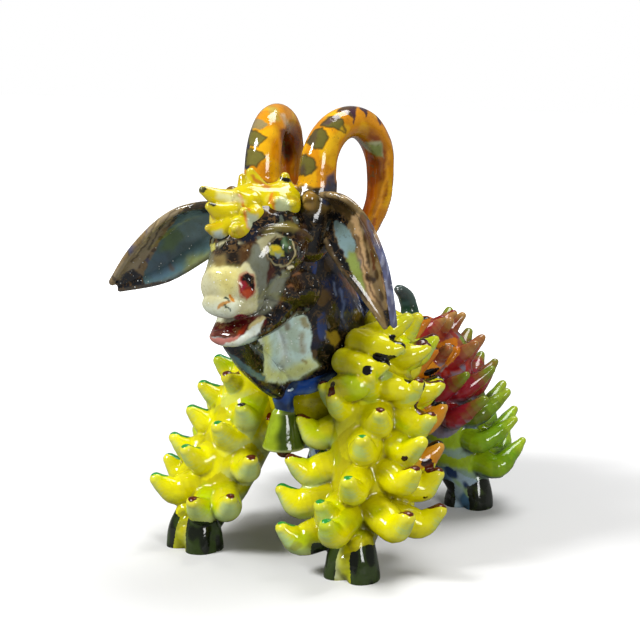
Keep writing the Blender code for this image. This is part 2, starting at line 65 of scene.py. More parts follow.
def tube_faces(rings, sides, loop=False):
    """Quads between neighbouring rings of a tube, and its two end faces unless it closes on itself."""
    i = np.arange(rings if loop else rings - 1)[:, None]
    k = np.arange(sides)[None, :]
    nxt = (i + 1) % rings
    turn = (k + 1) % sides
    quads = np.stack([i * sides + k, i * sides + turn, nxt * sides + turn, nxt * sides + k], -1)
    faces = quads.reshape(-1, 4).tolist()
    if not loop:
        faces.append(list(range(sides))[::-1])
        faces.append(list(range((rings - 1) * sides, rings * sides)))
    return faces


def roll(points, sizes, across=(1.0, 0.0, 0.0), steps=5, sides=24, loop=False, blunt=1.0):
    """Rolled clay: ring(v, u) = path(v) + a(v) cos u * side + b(v) sin u * rise, where a and b are the
    half-width and half-height; past both ends the ring shrinks as a quarter ellipse, flatter where blunt
    is small."""
    rows = np.hstack([np.asarray(points, float), np.asarray(sizes, float)])
    rows = rows if loop else bend(rows, steps)
    path, half = rows[:, :3], rows[:, 3:]
    if loop:
        tangent = unit(np.roll(path, -1, 0) - np.roll(path, 1, 0))
    else:
        tangent = unit(np.gradient(path, axis=0))
    side = unit(np.array(across) - tangent * (tangent @ np.array(across))[:, None])
    rise = np.cross(tangent, side)
    if not loop:
        cap = np.array([1.45, 1.15, 0.8, 0.4])  # angles of the rings past an end, outermost first
        first = path[0] - tangent[0] * (np.sin(cap) * half[0].min() * blunt)[:, None]
        last = path[-1] + tangent[-1] * (np.sin(cap[::-1]) * half[-1].min() * blunt)[:, None]
        path = np.vstack([first, path, last])
        half = np.vstack([half[0] * np.cos(cap)[:, None], half, half[-1] * np.cos(cap[::-1])[:, None]])
        side = np.vstack([np.repeat(side[:1], len(cap), 0), side, np.repeat(side[-1:], len(cap), 0)])
        rise = np.vstack([np.repeat(rise[:1], len(cap), 0), rise, np.repeat(rise[-1:], len(cap), 0)])
    u = np.linspace(0.0, 2.0 * pi, sides, endpoint=False)[None, :, None]
    rings = path[:, None] + half[:, None, :1] * np.cos(u) * side[:, None]
    rings = rings + half[:, None, 1:2] * np.sin(u) * rise[:, None]
    return rings.reshape(-1, 3), tube_faces(len(path), sides, loop)


def knead(forms, cell, soften=3):
    """Presses overlapping closed forms into one skin on a grid of the given cell, smooths it, and keeps
    its largest shell. Returns the places of its corners and its four-sided faces."""
    places = np.vstack([verts for verts, own in forms])
    faces = []
    base = 0
    for verts, own in forms:
        faces += [[base + n for n in face] for face in own]
        base += len(verts)
    mesh = bpy.data.meshes.new("lump")
    mesh.from_pydata(places.tolist(), [], faces)
    lump = bpy.data.objects.new("lump", mesh)
    bpy.context.scene.collection.objects.link(lump)
    fuse = lump.modifiers.new("fuse", "REMESH")
    fuse.mode = "VOXEL"
    fuse.voxel_size = cell
    smooth = lump.modifiers.new("smooth", "SMOOTH")
    smooth.factor = 0.5
    smooth.iterations = soften
    skin = bpy.data.meshes.new_from_object(lump.evaluated_get(bpy.context.evaluated_depsgraph_get()))
    bpy.data.objects.remove(lump)
    co = np.empty(len(skin.vertices) * 3)
    skin.vertices.foreach_get("co", co)
    co = co.reshape(-1, 3)
    ends = np.empty(len(skin.edges) * 2, np.int64)
    skin.edges.foreach_get("vertices", ends)
    a, b = ends.reshape(-1, 2).T
    corners = np.empty(len(skin.loops), np.int64)
    skin.loops.foreach_get("vertex_index", corners)
    quads = corners.reshape(-1, 4)
    bpy.data.meshes.remove(skin)
    label = np.arange(len(co))
    while True:
        low = np.minimum(label[a], label[b])
        fresh = label.copy()
        np.minimum.at(fresh, a, low)
        np.minimum.at(fresh, b, low)
        fresh = fresh[fresh]
        if (fresh == label).all():
            break
        label = fresh
    kept = label == np.bincount(label).argmax()
    index = np.cumsum(kept) - 1
    quads = index[quads[kept[quads[:, 0]]]]
    return co[kept], quads


def skin_normals(co, quads):
    """Outward normal of each corner: the mean of its faces' diagonals crossed, set to unit length."""
    cross = np.cross(co[quads[:, 2]] - co[quads[:, 0]], co[quads[:, 3]] - co[quads[:, 1]])
    total = np.zeros_like(co)
    for k in range(4):
        for axis in range(3):
            total[:, axis] += np.bincount(quads[:, k], cross[:, axis], len(co))
    return unit(total)


def hollowness(co, quads, normals, rounds=14, full=0.8):
    """How far each corner lies below the mean of its surroundings along its normal, from -1 on a sharp
    ridge to 1 in a deep crease."""
    a = np.concatenate([quads[:, 0], quads[:, 1], quads[:, 2], quads[:, 3]])
    b = np.concatenate([quads[:, 1], quads[:, 2], quads[:, 3], quads[:, 0]])
    share = 1.0 / np.maximum(np.bincount(a, minlength=len(co)), 1)
    mean = co.copy()
    for _ in range(rounds):
        mean = np.stack([np.bincount(a, mean[b, axis], len(co)) * share for axis in range(3)], 1)
    return np.clip(((mean - co) * normals).sum(1) / full, -1.0, 1.0)


def mottle(points, size, seed):
    """Soft patches about as wide as size, from -1 to 1: the mean of waves in fixed, seeded directions."""
    rng = np.random.default_rng(seed)
    total = np.zeros(len(points))
    for _ in range(9):
        way = unit(rng.normal(size=3)) * rng.uniform(0.7, 1.8) * pi / size
        total += np.sin(points @ way + rng.uniform(0, 2 * pi))
    return np.clip(total / 3.2, -1.0, 1.0)


def press(forms, cell, soften, ripple=None, full=0.8, on_ground=False):
    """A finished skin from kneaded forms: corners moved along their normals by the ripple (patch size,
    seed, height), corners below the ground set on it, and then its normals and hollows."""
    co, quads = knead(forms, cell, soften)
    if ripple:
        size, seed, height = ripple
        co += skin_normals(co, quads) * (mottle(co, size, seed) * height)[:, None]
    if on_ground:
        co[:, 2] = np.maximum(co[:, 2], 0.0)
    normals = skin_normals(co, quads)
    return co, quads, normals, hollowness(co, quads, normals, full=full)


def ease(low, high, x):
    """0 below low, 1 above high, and 3 s^2 - 2 s^3 between."""
    s = np.clip((x - low) / (high - low), 0.0, 1.0)
    return s * s * (3.0 - 2.0 * s)


def paint(code):
    """Linear colour of a six-digit screen colour."""
    c = np.array([int(code[i : i + 2], 16) / 255.0 for i in (0, 2, 4)])
    return np.where(c <= 0.04045, c / 12.92, ((c + 0.055) / 1.055) ** 2.4)


def wash(colours, mask, code):
    """Colours moved towards a paint by a mask from 0 to 1."""
    return colours + (paint(code) - colours) * np.clip(mask, 0.0, 1.0)[:, None]


def coats(co, base, *layers):
    """One colour for each corner: the base, which is one paint or the colours so far, and then each layer
    (mask, paint) washed over it."""
    ground = np.tile(paint(base), (len(co), 1)) if isinstance(base, str) else base
    for mask, code in layers:
        ground = wash(ground, mask, code)
    return ground


def segment_gap(points, a, b):
    """Distance of each point from the straight stroke between a and b."""
    a = np.asarray(a, float)
    b = np.asarray(b, float)
    along = b - a
    share = np.clip((points - a) @ along / max(along @ along, 1e-9), 0.0, 1.0)
    return np.linalg.norm(points - (a + share[:, None] * along), axis=1)


def brush(points, strokes):
    """Painted strokes (a, b, radius, paint): depth is how far inside the nearest stroke's edge a point is,
    in millimetres, and tone is that stroke's paint. Later strokes cover earlier ones where deeper."""
    depth = np.full(len(points), NO_STROKE)
    tone = np.zeros((len(points), 3))
    for a, b, radius, code in strokes:
        own = radius - segment_gap(points, a, b)
        wins = own > depth
        tone[wins] = paint(code)
        depth = np.where(wins, own, depth)
    return depth, tone


class Flow:
    """One socket of a node tree. +, - and * between flows and numbers add Math nodes."""

    def __init__(self, tree, socket=None):
        self.tree = tree
        self.socket = socket

    def node(self, kind, settings, sockets, out=0):
        """A new shader node with its settings and inputs, as the flow from its numbered output."""
        made = self.tree.nodes.new("ShaderNode" + kind)
        for key, value in settings.items():
            setattr(made, key, value)
        for key, value in sockets.items():
            if isinstance(value, Flow):
                self.tree.links.new(value.socket, made.inputs[key])
            else:
                made.inputs[key].default_value = value
        return Flow(self.tree, made.outputs[out])

    def maths(self, operation, a, b):
        return self.node("Math", {"operation": operation}, {0: a, 1: b})

    def __add__(self, other):
        return self.maths("ADD", self, other)

    def __radd__(self, other):
        return self.maths("ADD", other, self)

    def __sub__(self, other):
        return self.maths("SUBTRACT", self, other)

    def __rsub__(self, other):
        return self.maths("SUBTRACT", other, self)

    def __mul__(self, other):
        return self.maths("MULTIPLY", self, other)

    def step(self, low, high):
        """Smooth rise from 0 at low to 1 at high."""
        return self.node("MapRange", {"interpolation_type": "SMOOTHSTEP"}, {0: self, 1: low, 2: high})

    def over(self, below, above, blend="MIX"):
        """Colour above laid over colour below by this mask."""
        settings = {"data_type": "RGBA", "blend_type": blend}
        return self.node("Mix", settings, {0: self, 6: below, 7: above}, 2)


def shade(code):
    """Colour of a six-digit screen colour for a socket."""
    return (*paint(code), 1.0)


def pottery_glaze(name, painted_glints=0.0, mottling=0.5, grain=None, thin="e6ecc4", pooled_glaze_and_shade="5d5a2a", thinning=0.35):
    """Brush-painted tin glaze: the ground colour and the strokes come from the piece's own attributes;
    the glaze thins on ridges, pools in creases, where its paint also darkens them as painted shade, lets a
    brown grain through dark paint, carries pale specks painted as glints, and ripples a little. The thin,
    crease and grain colours are paints; the strengths of the glints, mottling and thinning run from 0 to 1.
    Edges of strokes waver by the noise, in millimetres."""
    material = bpy.data.materials.new(name)
    material.use_nodes = True
    tree = material.node_tree
    shader = tree.nodes["Principled BSDF"]
    start = Flow(tree)
    where = start.node("TexCoord", {}, {}, 3)
    ground = start.node("Attribute", {"attribute_name": "ground"}, {})
    tone = start.node("Attribute", {"attribute_name": "tone"}, {})
    stroke = start.node("Attribute", {"attribute_name": "stroke"}, {}, 2)
    crease_depth = start.node("Attribute", {"attribute_name": "crease_depth"}, {}, 2)
    broad = start.node("TexNoise", {}, {"Vector": where, "Scale": 170.0, "Detail": 3.0})
    fine = start.node("TexNoise", {}, {"Vector": where, "Scale": 800.0, "Detail": 2.0})
    streak = start.node("TexNoise", {}, {"Vector": where, "Scale": 420.0, "Detail": 4.0, "Distortion": 1.2})
    colour = (broad.step(0.38, 0.68) * mottling).over(ground, shade("d9cfa8"), "MULTIPLY")
    colour = (streak.step(0.55, 0.75) * (mottling * 0.6)).over(colour, shade("c4bd98"), "MULTIPLY")
    colour = ((0.0 - crease_depth).step(0.12, 0.75) * thinning).over(colour, shade(thin))
    # Creases darkened by the crease paint: partly pooled glaze, partly painted shade.
    colour = (crease_depth.step(0.15, 0.95) * 0.75).over(colour, shade(pooled_glaze_and_shade), "MULTIPLY")
    if grain:
        dark = start.node("RGBToBW", {}, {0: colour})
        worn = streak.step(0.5, 0.64) * (0.085 - dark).step(0.0, 0.05) * broad.step(0.26, 0.5)
        colour = (worn * 0.75).over(colour, shade(grain))
        scuffed = fine.step(0.56, 0.68) * streak.step(0.46, 0.4) * dark.step(0.1, 0.2)
        colour = (scuffed * 0.35).over(colour, shade("3a3020"))
    edge = stroke + (fine - 0.5) * 1.1 + (broad - 0.5) * 1.2
    painted = streak.step(0.5, 0.8).over(tone, shade("cfc8b0"), "MULTIPLY")
    colour = edge.step(-0.14, 0.14).over(colour, painted)
    # Pale specks painted as glints: small painted highlights scattered over the glaze.
    if painted_glints:
        cells, picked = (start.node("TexVoronoi", {}, {"Vector": where, "Scale": 900.0}, n) for n in (0, 1))
        chance = start.node("SeparateColor", {}, {0: picked})
        fewest = 1.0 - painted_glints * 0.5
        glint_dots = (chance * 0.34 - cells).step(0.0, 0.1) * chance.step(fewest, fewest + 0.02)
        glint_dots = glint_dots * broad.step(0.5, 0.6)
        colour = glint_dots.over(colour, shade("dfe3e0"))
    tree.links.new(colour.socket, shader.inputs["Base Color"])
    gloss = 0.09 + (broad - 0.5) * 0.08 + crease_depth.step(0.3, 1.0) * 0.12
    tree.links.new(gloss.socket, shader.inputs["Roughness"])
    height = broad * 0.8 + fine * 0.10 + stroke.step(-0.3, 0.3) * 0.12
    bump = start.node("Bump", {}, {"Strength": 0.28, "Distance": 0.0012, "Height": height})
    tree.links.new(bump.socket, shader.inputs["Normal"])
    for socket, value in (("IOR", 1.45), ("Coat Weight", 0.06), ("Coat Roughness", 0.05)):
        shader.inputs[socket].default_value = value
    return material


def fire(name, co, quads, ground, material, stroke=None, tone=None, crease_depth=None):
    """The finished piece: its mesh in metres at its place, with its paint stored on its corners."""
    count = len(co)
    mesh = bpy.data.meshes.new(name)
    mesh.vertices.add(count)
    mesh.vertices.foreach_set("co", ((co + np.array(FEET_SHIFT)) / 1000.0).ravel())
    mesh.loops.add(len(quads) * 4)
    mesh.loops.foreach_set("vertex_index", quads.ravel().astype(np.int32))
    mesh.polygons.add(len(quads))
    mesh.polygons.foreach_set("loop_start", np.arange(0, len(quads) * 4, 4, dtype=np.int32))
    mesh.update(calc_edges=True)
    mesh.validate()
    for label, values in (("ground", ground), ("tone", tone)):
        layer = mesh.attributes.new(label, "FLOAT_COLOR", "POINT")
        values = np.zeros((count, 3)) if values is None else values
        layer.data.foreach_set("color", np.hstack([np.clip(values, 0, 1), np.ones((count, 1))]).ravel())
    for label, values, empty in (("stroke", stroke, NO_STROKE), ("crease_depth", crease_depth, 0.0)):
        layer = mesh.attributes.new(label, "FLOAT", "POINT")
        layer.data.foreach_set("value", np.full(count, empty) if values is None else values)
    mesh.shade_smooth()
    mesh.materials.append(material)
    piece = bpy.data.objects.new(name, mesh)
    bpy.context.scene.collection.objects.link(piece)
    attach(piece, "root")
    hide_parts("goat_figurine")


trunk_forms = [
    roll(
        [(0, 42, 67), (0, 56, 69), (0, 80, 68), (0, 110, 67), (0, 128, 66)],
        [(22.4, 18.9), (26.6, 21), (28, 21), (28, 21), (20.2, 17.6)],
        sides=40,
    ),
    roll(
        [(0, 128, 80), (-1, 133, 87), (-2, 131, 95), (-3, 125, 100)],
        [(7, 6), (5.0, 4.4), (4.0, 3.5), (2.6, 2.3)],
    ),
]
co, quads, normals, crease_depth = press(trunk_forms, 0.9, 6, ripple=(14, 1, 0.35))
ground = coats(
    co,
    "b9c8c6",
    (ease(-0.2, 0.7, mottle(co, 16, 2)), "8ea4b4"),
    (ease(0.45, 0.75, normals[:, 2] + 0.22 * mottle(co, 9, 3)), "232a4a"),
    (ease(0.2, 0.8, mottle(co, 12, 4)) * ease(0.5, 0.8, normals[:, 2]), "17181c"),
    (ease(78, 86, co[:, 2]) * ease(122, 127, co[:, 1]), "22402e"),
    (ease(93, 99, co[:, 2]) * ease(118, 122, co[:, 1]), "23301f"),
)
body_glaze = pottery_glaze(
    "blue_white_body_glaze", painted_glints=0.25, thin="9fb4bc", pooled_glaze_and_shade="3c4450", thinning=0.12
)
fire("trunk_and_tail", co, quads, ground, body_glaze, crease_depth=crease_depth)


# Front legs
# Each foreleg is a tapering roll of clay on a cloven hoof, covered from pastern to shoulder with thick
# clay tufts that are pressed on, pulled to a blunt tip and curled up. They are glazed lemon yellow over
# pale green-white, with one dab of green or brown on each tip; the hooves are dark olive.
LEMON = "d9d300"
LIME = "b2c600"
STANCE = 39.8
TUFT_RADIUS = 6.3
TUFT_TIP_RADIUS = 3.5
TUFT_TIP_FLATNESS = 0.86
TUFT_LENGTH = 27.0
TUFT_TIP_LENGTH = 11.0
TUFT_CURL = 6.0
TUFT_DROOP = 4.0
TUFT_SPREAD_SLOPE = 0.12
TUFT_SPREAD_TURN = 27.0
SHOULDER_TUFT_RADIUS = 5.4
SHOULDER_TUFT_TIP_RADIUS = 3.2
FLEECE_CELL = 0.62
DAB = {  # green, brown, black, black on an orange tuft, red, none
    "g": "2c8a35", "b": "54200f", "k": "12100e", "o": "12100e", "r": "7a1208", "-": None,
}


def tuft(start, mid, tip, thick=TUFT_RADIUS, blunt=TUFT_TIP_RADIUS):
    """One pulled tuft: a roll along start, mid and tip that narrows to a blunt end. Returns its form and
    the spots of its middle line."""
    start, mid, tip = (np.asarray(p, float) for p in (start, mid, tip))
    way = unit(tip - start)
    across = (way[1], -way[0], 0.0)
    points = [start, start + (mid - start) * 0.55, mid, mid + (tip - mid) * 0.6 - (0, 0, 0.5), tip]
    sizes = [
        (thick * 1.15, thick * 1.1),
        (thick * 1.15, thick * 1.12),
        (thick * 1.04, thick * 1.0),
        (thick * 0.5 + blunt * 0.5, (thick * 0.5 + blunt * 0.5) * 0.95),
        (blunt, blunt * TUFT_TIP_FLATNESS),
    ]
    form = roll(points, sizes, across, steps=4, sides=20)
    return form, bend(points, 3)


def leg_tufts(
    foot, top, outward, rows, thick, seed, length=1.0, curl=1.0, blunt=TUFT_TIP_RADIUS, sweep=0.0
):
    """Tufts round a leg: each points away from the leg's middle line, at an angle in degrees that is
    counted outwards from straight ahead, and ends at the given height and distance from that line. Sweep
    turns its tip further back, in degrees. Returns each tuft's form, spine and dab."""
    rng = np.random.default_rng(seed)
    made = []
    for degrees, height, spread, dab in rows:
        centre = foot + (top - foot) * (height / top[2])
        angle = radians(degrees)
        swept_angle = angle + radians(sweep)
        way = np.array([outward * sin(angle), -cos(angle), 0.0])
        wander = rng.normal(size=3) * (0.5, 0.5, 0.6)
        swept = np.array([outward * sin(swept_angle), -cos(swept_angle), 0.0])
        tip = centre + swept * (spread - TUFT_TIP_RADIUS) + wander
        tip[2] = height
        mid = centre + way * (spread - TUFT_TIP_LENGTH * length)
        mid[2] = height - TUFT_CURL * curl
        start = centre + way * max(spread - TUFT_LENGTH * length, 0.0)
        start[2] = height - TUFT_CURL * curl + TUFT_DROOP
        form, spine = tuft(start, mid, tip, thick * rng.uniform(0.95, 1.06), blunt)
        made.append((form, spine, dab))
    return made


def nearest(points, spots, block=40000):
    """Index of the spot closest to each point, worked out a block of points at a time."""
    out = np.empty(len(points), int)
    weight = (spots**2).sum(1)
    for start in range(0, len(points), block):
        own = slice(start, start + block)
        out[own] = (weight - 2.0 * points[own] @ spots.T).argmin(1)
    return out


def tuft_map(co, made, core):
    """For each corner: which tuft it is on, the share of the way to that tuft's tip, and how high it lies
    on it, from -1 underneath to 1 on top. Corners nearer the leg's core have number -1."""
    spots = np.vstack([spine for form, spine, dab in made] + [core])
    owner = np.concatenate([np.full(len(spine), i) for i, (form, spine, dab) in enumerate(made)])
    share = np.concatenate([np.linspace(0, 1, len(spine)) for form, spine, dab in made])
    owner = np.concatenate([owner, np.full(len(core), -1)])
    share = np.concatenate([share, np.zeros(len(core))])
    pick = nearest(co, spots)
    lift = (co - spots[pick])[:, 2] / TUFT_RADIUS
    return owner[pick], share[pick], np.clip(lift, -1.0, 1.0)


def dabs(made, seed):
    """Strokes for the tips: each lies on top of its tuft's tip, along the tuft. Green ones are long and
    slim, the others short and broad, and brown ones are darker inside."""
    rng = np.random.default_rng(seed)
    strokes = []
    for form, spine, dab in made:
        if DAB[dab] is None:
            continue
        way = unit(spine[-1] - spine[-4])
        rise = unit(np.array([0.0, 0.0, 1.0]) - way * way[2])
        r = TUFT_TIP_RADIUS * 1.15
        long = rng.uniform(0.8, 1.5) if dab == "g" else rng.uniform(0.5, 1.0)
        wide = rng.uniform(1.6, 2.0) if dab == "g" else rng.uniform(2.1, 2.6)
        front = spine[-1] + (way * 0.95 + rise * 0.3) * r
        back = spine[-1] + (way * (0.45 - long) + rise * 1.05) * r
        strokes.append((front, back, wide, DAB[dab]))
        if dab == "b":
            strokes.append((front + rise * 0.8 * r, back + rise * 0.8 * r, wide * 0.7, "2a0f08"))
    return strokes


def hoof(foot, turn, size=1.0):
    """Two toes side by side: each a stout roll from the pastern to the ground, wider at the sole."""
    c, s = cos(turn), sin(turn)
    side = np.array([c, s, 0.0])
    ahead = np.array([s, -c, 0.0])
    forms = []
    for toe in (-1.0, 1.0):
        points = [
            foot + side * toe * 3.6 * size - ahead * 2.0 + (0, 0, 15.0),
            foot + side * toe * 4.9 * size - ahead * 1.0 + (0, 0, 8.0),
            foot + side * toe * 5.6 * size - ahead * 0.6 + (0, 0, 1.0),
            foot + side * toe * 5.6 * size - ahead * 0.6 + (0, 0, -3.0),
        ]
        sizes = [(5.4, 6.6), (6.1, 7.9), (6.6, 8.6), (6.2, 8.2)]
        forms.append(roll(points, np.array(sizes) * size, tuple(side), sides=24))
    return forms


def hoof_paint(co, foot, turn, height, half_strip=2.6, wave=1.6, reach=17.0):
    """How far inside a dark hoof panel each corner is: the panels leave a strip free in front, end in a
    wavy line above, and stop at their reach from the foot."""
    ahead = np.array([sin(turn), -cos(turn)])
    flat = co[:, :2] - foot[:2]
    forward = flat @ ahead
    sideways = np.abs(flat @ np.array([cos(turn), sin(turn)]))
    strip = np.where(forward > 0, sideways - half_strip - 0.10 * (height - co[:, 2]), 3.0)
    crown = height + wave * np.sin(np.arctan2(flat[:, 1], flat[:, 0]) * 3.0 + foot[0]) - co[:, 2]
    near = reach - np.linalg.norm(flat, axis=1)
    return np.minimum(np.minimum(strip, crown), near)


def fleece(foot, top, hip_sizes, toes, made, ripple_seed):
    """A leg with its hoof and tufts pressed into one skin: the core tapers from its two widths at the hip
    through the knee to the pastern. Returns the skin, and where each corner lies on the tufts."""
    shin = [foot + (top - foot) * share for share in (0.66, 0.36, 0.17)]
    core_line = [top, *shin, foot + (0, 0, 7)]
    core_sizes = [(r, r) for r in (*hip_sizes, 13, 8.6, 8.4)]
    forms = [roll(core_line, core_sizes, sides=32)] + toes + [form for form, spine, dab in made]
    skin = press(forms, FLEECE_CELL, 4, ripple=(7, ripple_seed, 0.22), on_ground=True)
    return *skin, *tuft_map(skin[0], made, bend(core_line, 4))


def dabs_and_hoof(co, foot, turn, height, strokes, dark, mould):
    """Depth and paint of the strokes with the hoof's dark panels, which a second paint (mask, paint)
    clouds."""
    depth, tone = brush(co, strokes)
    panel = hoof_paint(co, foot, turn, height)
    tone[panel > depth] = paint(dark)
    return np.maximum(depth, panel), wash(tone, (panel > depth) * mould[0], mould[1])


lemon_glaze = pottery_glaze("lemon_fleece_glaze", mottling=0.3, thin="e6e27a", pooled_glaze_and_shade="6f6010", thinning=0.16)
front_legs = (  # name, side, hip, hoof's turn and size, spread, tufts (degrees, height, reach, dab)
    (
        "front_left_leg",
        1.0,
        (30.0, 39.0, 84.0),
        0.0,
        1.0,
        37.0,
        (
            (-45, 21, 0.98, "g"), (4, 28, 1.0, "g"), (63, 30, 1.0, "b"), (116, 26, 1.0, "b"),
            (165, 24, 0.95, "g"), (-62, 33, 1.02, "g"), (17, 44, 1.0, "g"), (69, 46, 1.0, "b"),
            (116, 40, 1.0, "b"), (160, 40, 0.95, "g"), (-52, 46, 1.0, "b"), (23, 59, 1.0, "g"),
            (73, 57, 1.0, "-"), (118, 50, 1.0, "o"), (165, 55, 0.95, "b"), (-62, 60, 1.0, "b"),
            (36, 69, 1.0, "b"), (88, 65, 1.0, "b"), (124, 65, 1.06, "o"), (172, 70, 0.95, "g"),
            (21, 83, 1.0, "k"), (69, 79, 1.0, "b"), (116, 76, 1.0, "k"), (160, 84, 0.95, "g"),
            (-30, 76, 0.9, "b"), (84, 93, 0.9, "k"), (105, 102, 0.7, "-"), (155, 98, 0.8, "g"),
            (130, 92, 0.95, "b"), (-105, 42, 0.8, "g"), (-105, 62, 0.75, "b"), (-14, 73, 0.9, "b"),
            (-8, 33, 0.9, "g"),
        ),
    ),
    (
        "front_right_leg",
        -1.0,
        (24.0, 41.0, 78.0),
        radians(-14.0),
        1.1,
        32.6,
        (
            (-40, 27, 1.0, "b"), (-10, 25, 0.9, "b"), (45, 30, 1.02, "g"), (78, 34, 1.02, "g"),
            (125, 28, 1.0, "g"), (165, 30, 0.95, "b"), (-47, 42, 0.98, "b"), (24, 44, 1.0, "g"),
            (61, 45, 1.06, "g"), (108, 44, 1.0, "g"), (155, 46, 0.95, "b"), (-2, 55, 1.0, "g"),
            (58, 57, 1.02, "g"), (104, 58, 1.0, "g"), (152, 62, 0.95, "g"), (-17, 63, 1.0, "k"),
            (61, 67, 1.02, "g"), (110, 70, 1.0, "b"), (61, 78, 1.02, "g"), (18, 74, 0.95, "b"),
            (105, 82, 1.0, "g"), (155, 78, 0.95, "g"), (38, 87, 0.95, "g"), (-70, 55, 0.8, "r"),
            (85, 91, 0.9, "g"),
        ),
    ),
)
shoulder_tufts = (  # root, middle and tip of each tuft high on the goat's left shoulder
    ((29, 32, 95), (41, 30, 100), (47, 35, 105)),
    ((29, 25, 95), (42, 23, 94), (48, 26, 94)),
    ((34, 36, 88), (47, 35, 89), (54, 39, 92)),
    ((26, 15, 76), (36, 12, 79), (40, 15, 83)),
    ((35, 25, 79), (48, 24, 77), (55, 27, 77)),
    ((39, 39, 71), (53, 38, 73), (59, 42, 76)),
    ((41, 31, 66), (54, 29, 63), (60, 33, 63)),
    ((26, 19, 87), (38, 16, 86), (44, 20, 87)),
)
for leg_name, outward, hip, turn, size, spread, rows in front_legs:
    foot = np.array([outward * STANCE, 0.0, 0.0])
    top = np.array([outward * hip[0], hip[1], hip[2]])
    rows = [
        (degrees, height, (spread - TUFT_SPREAD_SLOPE * max(0, height - TUFT_SPREAD_TURN)) * reach, dab)
        for degrees, height, reach, dab in rows
    ]
    made = leg_tufts(foot, top, outward, rows, TUFT_RADIUS, seed=int(spread))
    if outward > 0:
        for k, (start, mid, tip) in enumerate(shoulder_tufts):
            form, spine = tuft(start, mid, tip, SHOULDER_TUFT_RADIUS, SHOULDER_TUFT_TIP_RADIUS)
            made.append((form, spine, "-kb"[k % 3]))
    toes = hoof(foot, turn, size)
    co, quads, normals, crease_depth, owner, share, lift = fleece(foot, top, (15.5, 15.5), toes, made, 11)
    tint = np.random.default_rng(5).uniform(0, 1, len(made) + 1)[owner]
    orange = np.array([dab == "o" for form, spine, dab in made] + [False])[owner]
    pale = ease(0.1, 0.6, -lift + 0.5 * (share - 0.8) + 0.2 * mottle(co, 6, 13)) * ease(0.5, 0.85, share)
    inward = (foot[0] - co[:, 0]) * outward - co[:, 2] * 0.12
    bare = owner < 0
    ground = coats(
        co,
        LEMON,
        (ease(0.5, 1.1, tint + 0.3 * mottle(co, 8, 12)), LIME),
        # Darker towards each tuft's root: pooled glaze and painted shade between the tufts.
        (ease(0.5, 0.1, share) * 0.6, "9c9206"),
        (orange * ease(0.1, 0.6, share), "c9820c"),
        (pale * ~orange * 0.75, "a9c67c"),
        (ease(-2, 8, inward) * bare * 0.9, "a9c0c4"),
        (ease(5, 12, inward) * ease(0.1, -0.5, lift) * 0.5, "a3bf9a"),
        (ease(6, 12, inward) * ease(0.2, 0.7, mottle(co, 6, 16)) * bare, "2f4668"),
        (ease(20, 14, co[:, 2]) * ease(0.1, 0.7, mottle(co, 4, 14)) * 0.7, "8a8a20"),
    )
    mould = (ease(0.0, 0.8, mottle(co, 5, 15)), "12170c")
    depth, tone = dabs_and_hoof(co, foot, turn, 14.5, dabs(made, 3), "2b3a12", mould)
    fire(leg_name, co, quads, ground, lemon_glaze, depth, tone, crease_depth)


# Rump and flanks
# The hind legs and the flanks carry longer, more pointed tufts that sweep back and curl up. Their glaze
# runs from orange at the shoulder through deep red to olive and leaf green at the rump, over a bare
# blue-white leg; the hind hooves are almost black.
WHEELBASE = 116.0
REAR_SPREAD = 37.0
REAR_TUFT_RADIUS = 5.3
REAR_TUFT_TIP_RADIUS = 2.3
REAR_TUFT_SWEEP = 24.0
SWEEP = {  # the paints of each kind of tuft, from its root to its tip
    "orange": ("d99a0c", "d98e10", "cf7f10", "c07010"),
    "ember": ("c4640e", "a82a10", "861620", "a8824a"),
    "crimson": ("b8500e", "860f12", "8a1a2c", "6f8a20"),
    "moss": ("7a3a14", "5a4a10", "5a7a12", "9ab82c"),
    "lime": ("8aa018", "8fae16", "6c9a12", "a8c62a"),
}
sweep_names = list(SWEEP)
sweep_paints = np.array([[paint(code) for code in codes] for codes in SWEEP.values()])
rear_glaze = pottery_glaze("rump_fleece_glaze", mottling=0.5, thin="c8783a", pooled_glaze_and_shade="3a1414", thinning=0.08)
rear_rows = (  # height, reach and angles in degrees of the tufts in each row
    (32, 1.0, (92, 128, 164)),
    (45, 0.97, (72, 106, 142, 176)),
    (57, 0.93, (42, 78, 114, 150)),
    (69, 0.87, (30, 66, 100, 136, 172)),
    (81, 0.74, (20, 60, 98, 136, 174)),
    (92, 0.56, (40, 90, 140)),
)
flank_tufts = (  # how far back, how high, reach and kind of each tuft between the legs
    (58, 92, 20, "orange"), (74, 90, 20, "ember"), (92, 90, 18, "ember"), (62, 77, 22, "orange"),
    (80, 75, 22, "orange"), (70, 63, 20, "orange"), (97, 74, 20, "crimson"), (90, 60, 18, "crimson"),
)


def rear_kind(degrees, height):
    """Which sweep of paints a tuft of the hind leg has, by its place round and up the leg."""
    if height > 75:
        return "ember" if degrees < 110 else "crimson"
    if height > 50:
        return "crimson" if height > 62 or degrees < 60 else "moss"
    return "lime"


